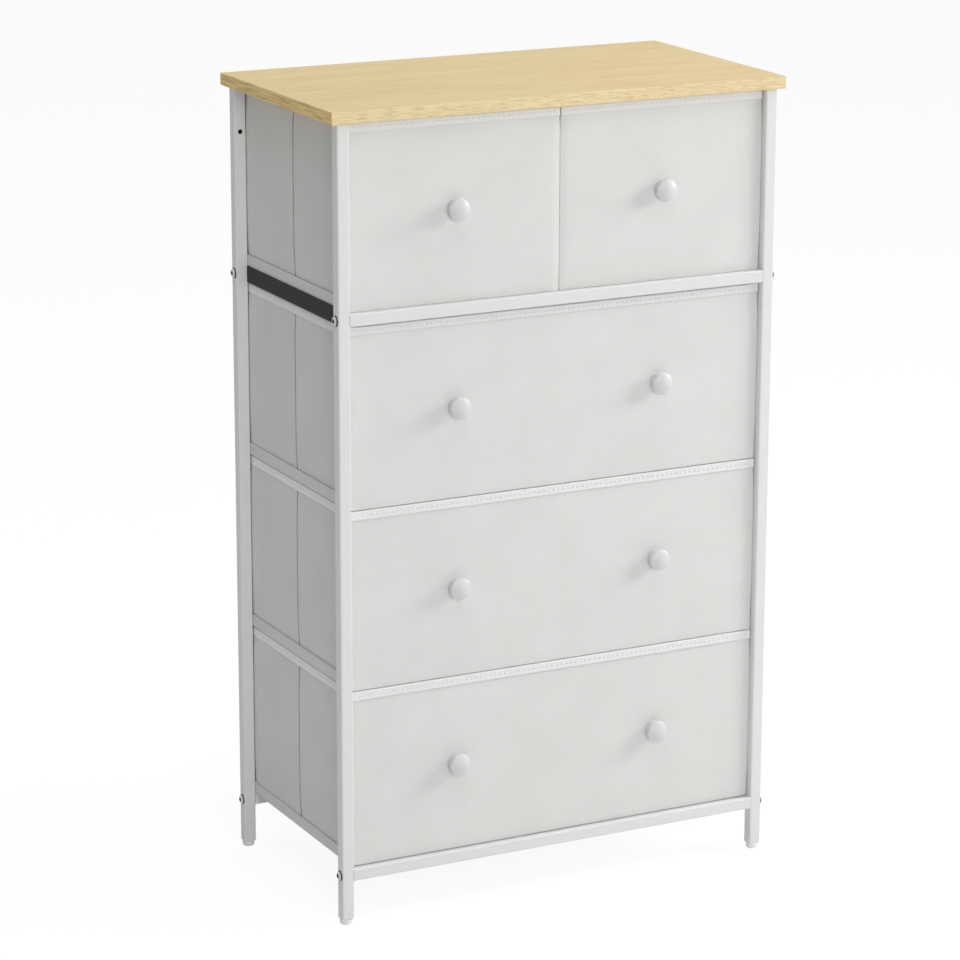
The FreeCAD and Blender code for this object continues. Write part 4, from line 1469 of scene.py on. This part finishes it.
@dataclass
class FabricDrawer:
    """One drawer: its soft pieces in place of the plain bag, and the finish of its hard parts."""

    label: str
    finishes: Wardrobe
    tape: Finish
    hang: Hang
    cloth_break: float = 50.0
    rim_break: float = 40.0
    thread_break: float = 60.0

    def measured(self) -> DrawerPattern:
        """Take this drawer's measures.

        Returns:
            A pattern to its size.
        """
        low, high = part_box(f"{self.label}_bag")
        knob_low, knob_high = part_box(f"{self.label}_knobs")
        head = (knob_high.z - knob_low.z) / 2
        middle = (low.x + high.x) / 2
        spots = {round(spot - middle, MM_DIGITS) for spot in (knob_low.x + head, knob_high.x - head)}
        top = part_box(f"{self.label}_hem")[1].z
        size = high - low
        return DrawerPattern(size.x, size.y, size.z, top - low.z, tuple(sorted(spots)))

    def fit(self, role: str, sewn: Workpiece, finish: Finish, paints: Paintbox) -> Workpiece:
        """Copy a sewn piece to this drawer and dress it.

        Args:
            role: the piece's part in the drawer.
            sewn: the pattern's own piece.
            finish: what it is made of.
            paints: where the material comes from.

        Returns:
            The piece in its place.
        """
        piece = sewn.copied(f"{self.label}_{role}", Matrix.Translation(self.origin()))
        paints.coat(piece.obj, finish)
        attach(piece.obj, self.label)
        log.info("%s: %s", piece.obj.name, finish.name)
        return piece

    def origin(self) -> Vector:
        """The middle of the bag's lower front edge."""
        low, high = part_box(f"{self.label}_bag")
        return Vector(((low.x + high.x) / 2, low.y, low.z))

    def dress(self, pattern: DrawerPattern, sewn: dict[str, Workpiece], paints: Paintbox) -> None:
        """Put the sewn pieces in place and finish the hard parts.

        Args:
            pattern: the drawer's pattern.
            sewn: the pattern's pieces.
            paints: where the materials come from.
        """
        looks = self.finishes
        fitting = Fitting(pattern, self.origin(), self.hang)
        bag = self.fit("cloth", sewn["cloth"], looks.cloth, paints)
        fitting.settle(bag)
        fitting.lean_rim(bag)
        bag.smooth(self.cloth_break)
        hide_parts(f"{self.label}_bag")
        hem = self.fit("binding", sewn["binding"], self.tape, paints)
        fitting.pucker_hem(hem)
        fitting.lean_rim(hem)
        hem.smooth(self.rim_break)
        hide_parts(f"{self.label}_hem")
        pad = self.fit("floor_pad", sewn["floor_pad"], looks.cloth, paints)
        pad.smooth(self.rim_break)
        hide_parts(f"{self.label}_floor_board")
        seam = self.fit("stitching", sewn["stitching"], looks.thread, paints)
        fitting.lean_rim(seam)
        seam.smooth(self.thread_break)
        for board in ("front_board", "wall_boards"):
            paints.coat_node(f"{self.label}_{board}", looks.stiffener)
        paints.coat_node(f"{self.label}_knobs", looks.knob)
        paints.coat_node(f"{self.label}_knob_screws", looks.plate)


def sew_drawers(drawers: list[FabricDrawer], paints: Paintbox) -> None:
    """Sew one pattern for drawers of the same width, then fit it to each of them.

    Args:
        drawers: the drawers.
        paints: where the materials come from.
    """
    pattern = drawers[0].measured()
    sewn = {
        "cloth": pattern.sew_bag(),
        "binding": pattern.sew_hem(),
        "floor_pad": pattern.sew_floor(),
        "stitching": pattern.sew_stitches(),
    }
    for drawer in drawers:
        drawer.dress(pattern, sewn, paints)
    for piece in sewn.values():
        piece.discard()


def bearing(azimuth: float, elevation: float) -> Vector:
    """Which way a place lies from the dresser, in degrees round from the front and up."""
    turn, rise = math.radians(azimuth), math.radians(elevation)
    return Vector((math.sin(turn) * math.cos(rise), -math.cos(turn) * math.cos(rise), math.sin(rise)))


@dataclass(frozen=True)
class Viewpoint:
    """Where the camera stands, as fitted to the dresser's edges in the image."""

    azimuth: float = -27.57
    elevation: float = 15.34
    roll: float = 0.30
    distance: float = 4.551
    focal_pixels: float = 3675.0
    axis_pixel: float = 517.4
    image_pixels: float = 960.0
    target: Place = (0.022, 0.002, 0.4788)

    def build(self) -> None:
        """Make the camera."""
        data = bpy.data.cameras.new("viewpoint")
        data.lens = self.focal_pixels / self.image_pixels * data.sensor_width
        data.shift_x = (self.image_pixels / 2 - self.axis_pixel) / self.image_pixels
        back = bearing(self.azimuth, self.elevation)
        right = Vector((-back.y, back.x, 0.0)).normalized()
        rolled = Matrix.Rotation(math.radians(self.roll), 3, back) @ right
        pose = Matrix((rolled, back.cross(rolled), back)).transposed().to_4x4()
        pose.translation = Vector(self.target) + back * self.distance
        camera = bpy.data.objects.new("viewpoint", data)
        camera.matrix_world = pose
        bpy.context.scene.collection.objects.link(camera)
        bpy.context.scene.camera = camera


@dataclass(frozen=True)
class SoftBox:
    """A square soft lamp that faces the dresser."""

    name: str
    azimuth: float
    elevation: float
    distance: float
    size: float
    level: float
    aim: Place = (0.0, 0.0, 0.5)

    def build(self) -> None:
        """Hang the lamp."""
        data = bpy.data.lights.new(self.name, "AREA")
        data.shape = "SQUARE"
        data.size = self.size
        data.energy = self.level * (math.pi * self.distance) ** 2
        towards = bearing(self.azimuth, self.elevation)
        lamp = bpy.data.objects.new(self.name, data)
        lamp.matrix_world = towards.to_track_quat("Z", "Y").to_matrix().to_4x4()
        lamp.location = Vector(self.aim) + towards * self.distance
        bpy.context.scene.collection.objects.link(lamp)


@dataclass
class Studio:
    """A pale floor, a white surround and soft lamps."""

    ambient: float = 0.255
    surround_colour: RGB = (1.0, 1.0, 1.0)
    floor_colour: RGB = (0.9, 0.9, 0.9)
    floor_rough: float = 0.9
    floor_white: float = 0.85
    floor_glow: float = 1.07
    floor_size: float = 60.0
    floor_drop: float = 0.4 * MM
    lamps: tuple[SoftBox, ...] = (
        SoftBox("key_softbox", 69.0, 23.0, 3.0, 1.1, 0.56),
        SoftBox("front_softbox", -14.0, 18.0, 4.5, 1.2, 0.226),
        SoftBox("overhead_softbox", 0.0, 82.0, 6.0, 6.0, 0.53),
    )

    def build(self) -> None:
        """Set up the floor, the surround and the lamps."""
        self.lay_floor()
        self.light_surround()
        for lamp in self.lamps:
            lamp.build()

    def lay_floor(self) -> None:
        """Lay a wide floor that keeps a faint shadow and otherwise looks white to the camera."""
        spot = (0.0, 0.0, -self.floor_drop)
        plane = bpy.ops.mesh.primitive_plane_add
        floor = Workpiece.added("studio_floor", plane, size=self.floor_size, location=spot).obj
        graph = ShaderGraph("studio_floor")
        matt = {
            "Base Color": opaque(self.floor_colour),
            "Roughness": self.floor_rough,
            "Specular IOR Level": 0.0,
        }
        floor.data.materials.append(graph.paint(matt))
        sides = {
            0: graph.seen_directly() * self.floor_white,
            1: Signal(graph, graph.shader.outputs[0]),
            2: graph.node("ShaderNodeEmission", {}, {"Strength": self.floor_glow}),
        }
        mixed = graph.node("ShaderNodeMixShader", {}, sides)
        graph.feed(graph.tree.nodes["Material Output"].inputs["Surface"], mixed)

    def light_surround(self) -> None:
        """Set a white surround to look at that lights the dresser at a lower level."""
        world = bpy.data.worlds.new("surround")
        world.use_nodes = True
        bpy.context.scene.world = world
        graph = WorldGraph(world)
        strength = graph.seen_directly() * (1.0 - self.ambient) + self.ambient
        graph.feed(graph.shader.inputs["Color"], opaque(self.surround_colour))
        graph.feed(graph.shader.inputs["Strength"], strength)


def main() -> None:
    """Dress the dresser and set the studio round it."""
    logging.basicConfig(level=logging.INFO, format="%(message)s")
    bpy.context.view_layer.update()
    bpy.context.scene.view_settings.view_transform = "Standard"
    finishes = Wardrobe()
    paints = Paintbox()
    Viewpoint().build()
    Studio().build()
    BoardTop(finishes).dress(paints)
    TubeFrame(finishes).dress(paints)
    upper_hang = Hang(lip=2.1 * MM, sag=0.9 * MM, rim=1.2 * MM, band=4.0 * MM)
    wide = [
        FabricDrawer("lower_wide_drawer", finishes, finishes.tape, Hang(lip=0.5 * MM, sag=0.5 * MM)),
        FabricDrawer("middle_wide_drawer", finishes, finishes.tape, Hang(lip=2.1 * MM, sag=0.9 * MM)),
        FabricDrawer("upper_wide_drawer", finishes, finishes.tape, upper_hang),
    ]
    small = [
        FabricDrawer(f"{side}_small_drawer", finishes, finishes.board_shaded_tape, Hang(lip=1.6 * MM))
        for side in ("left", "right")
    ]
    sew_drawers(wide, paints)
    sew_drawers(small, paints)


if __name__ == "__main__":
    main()
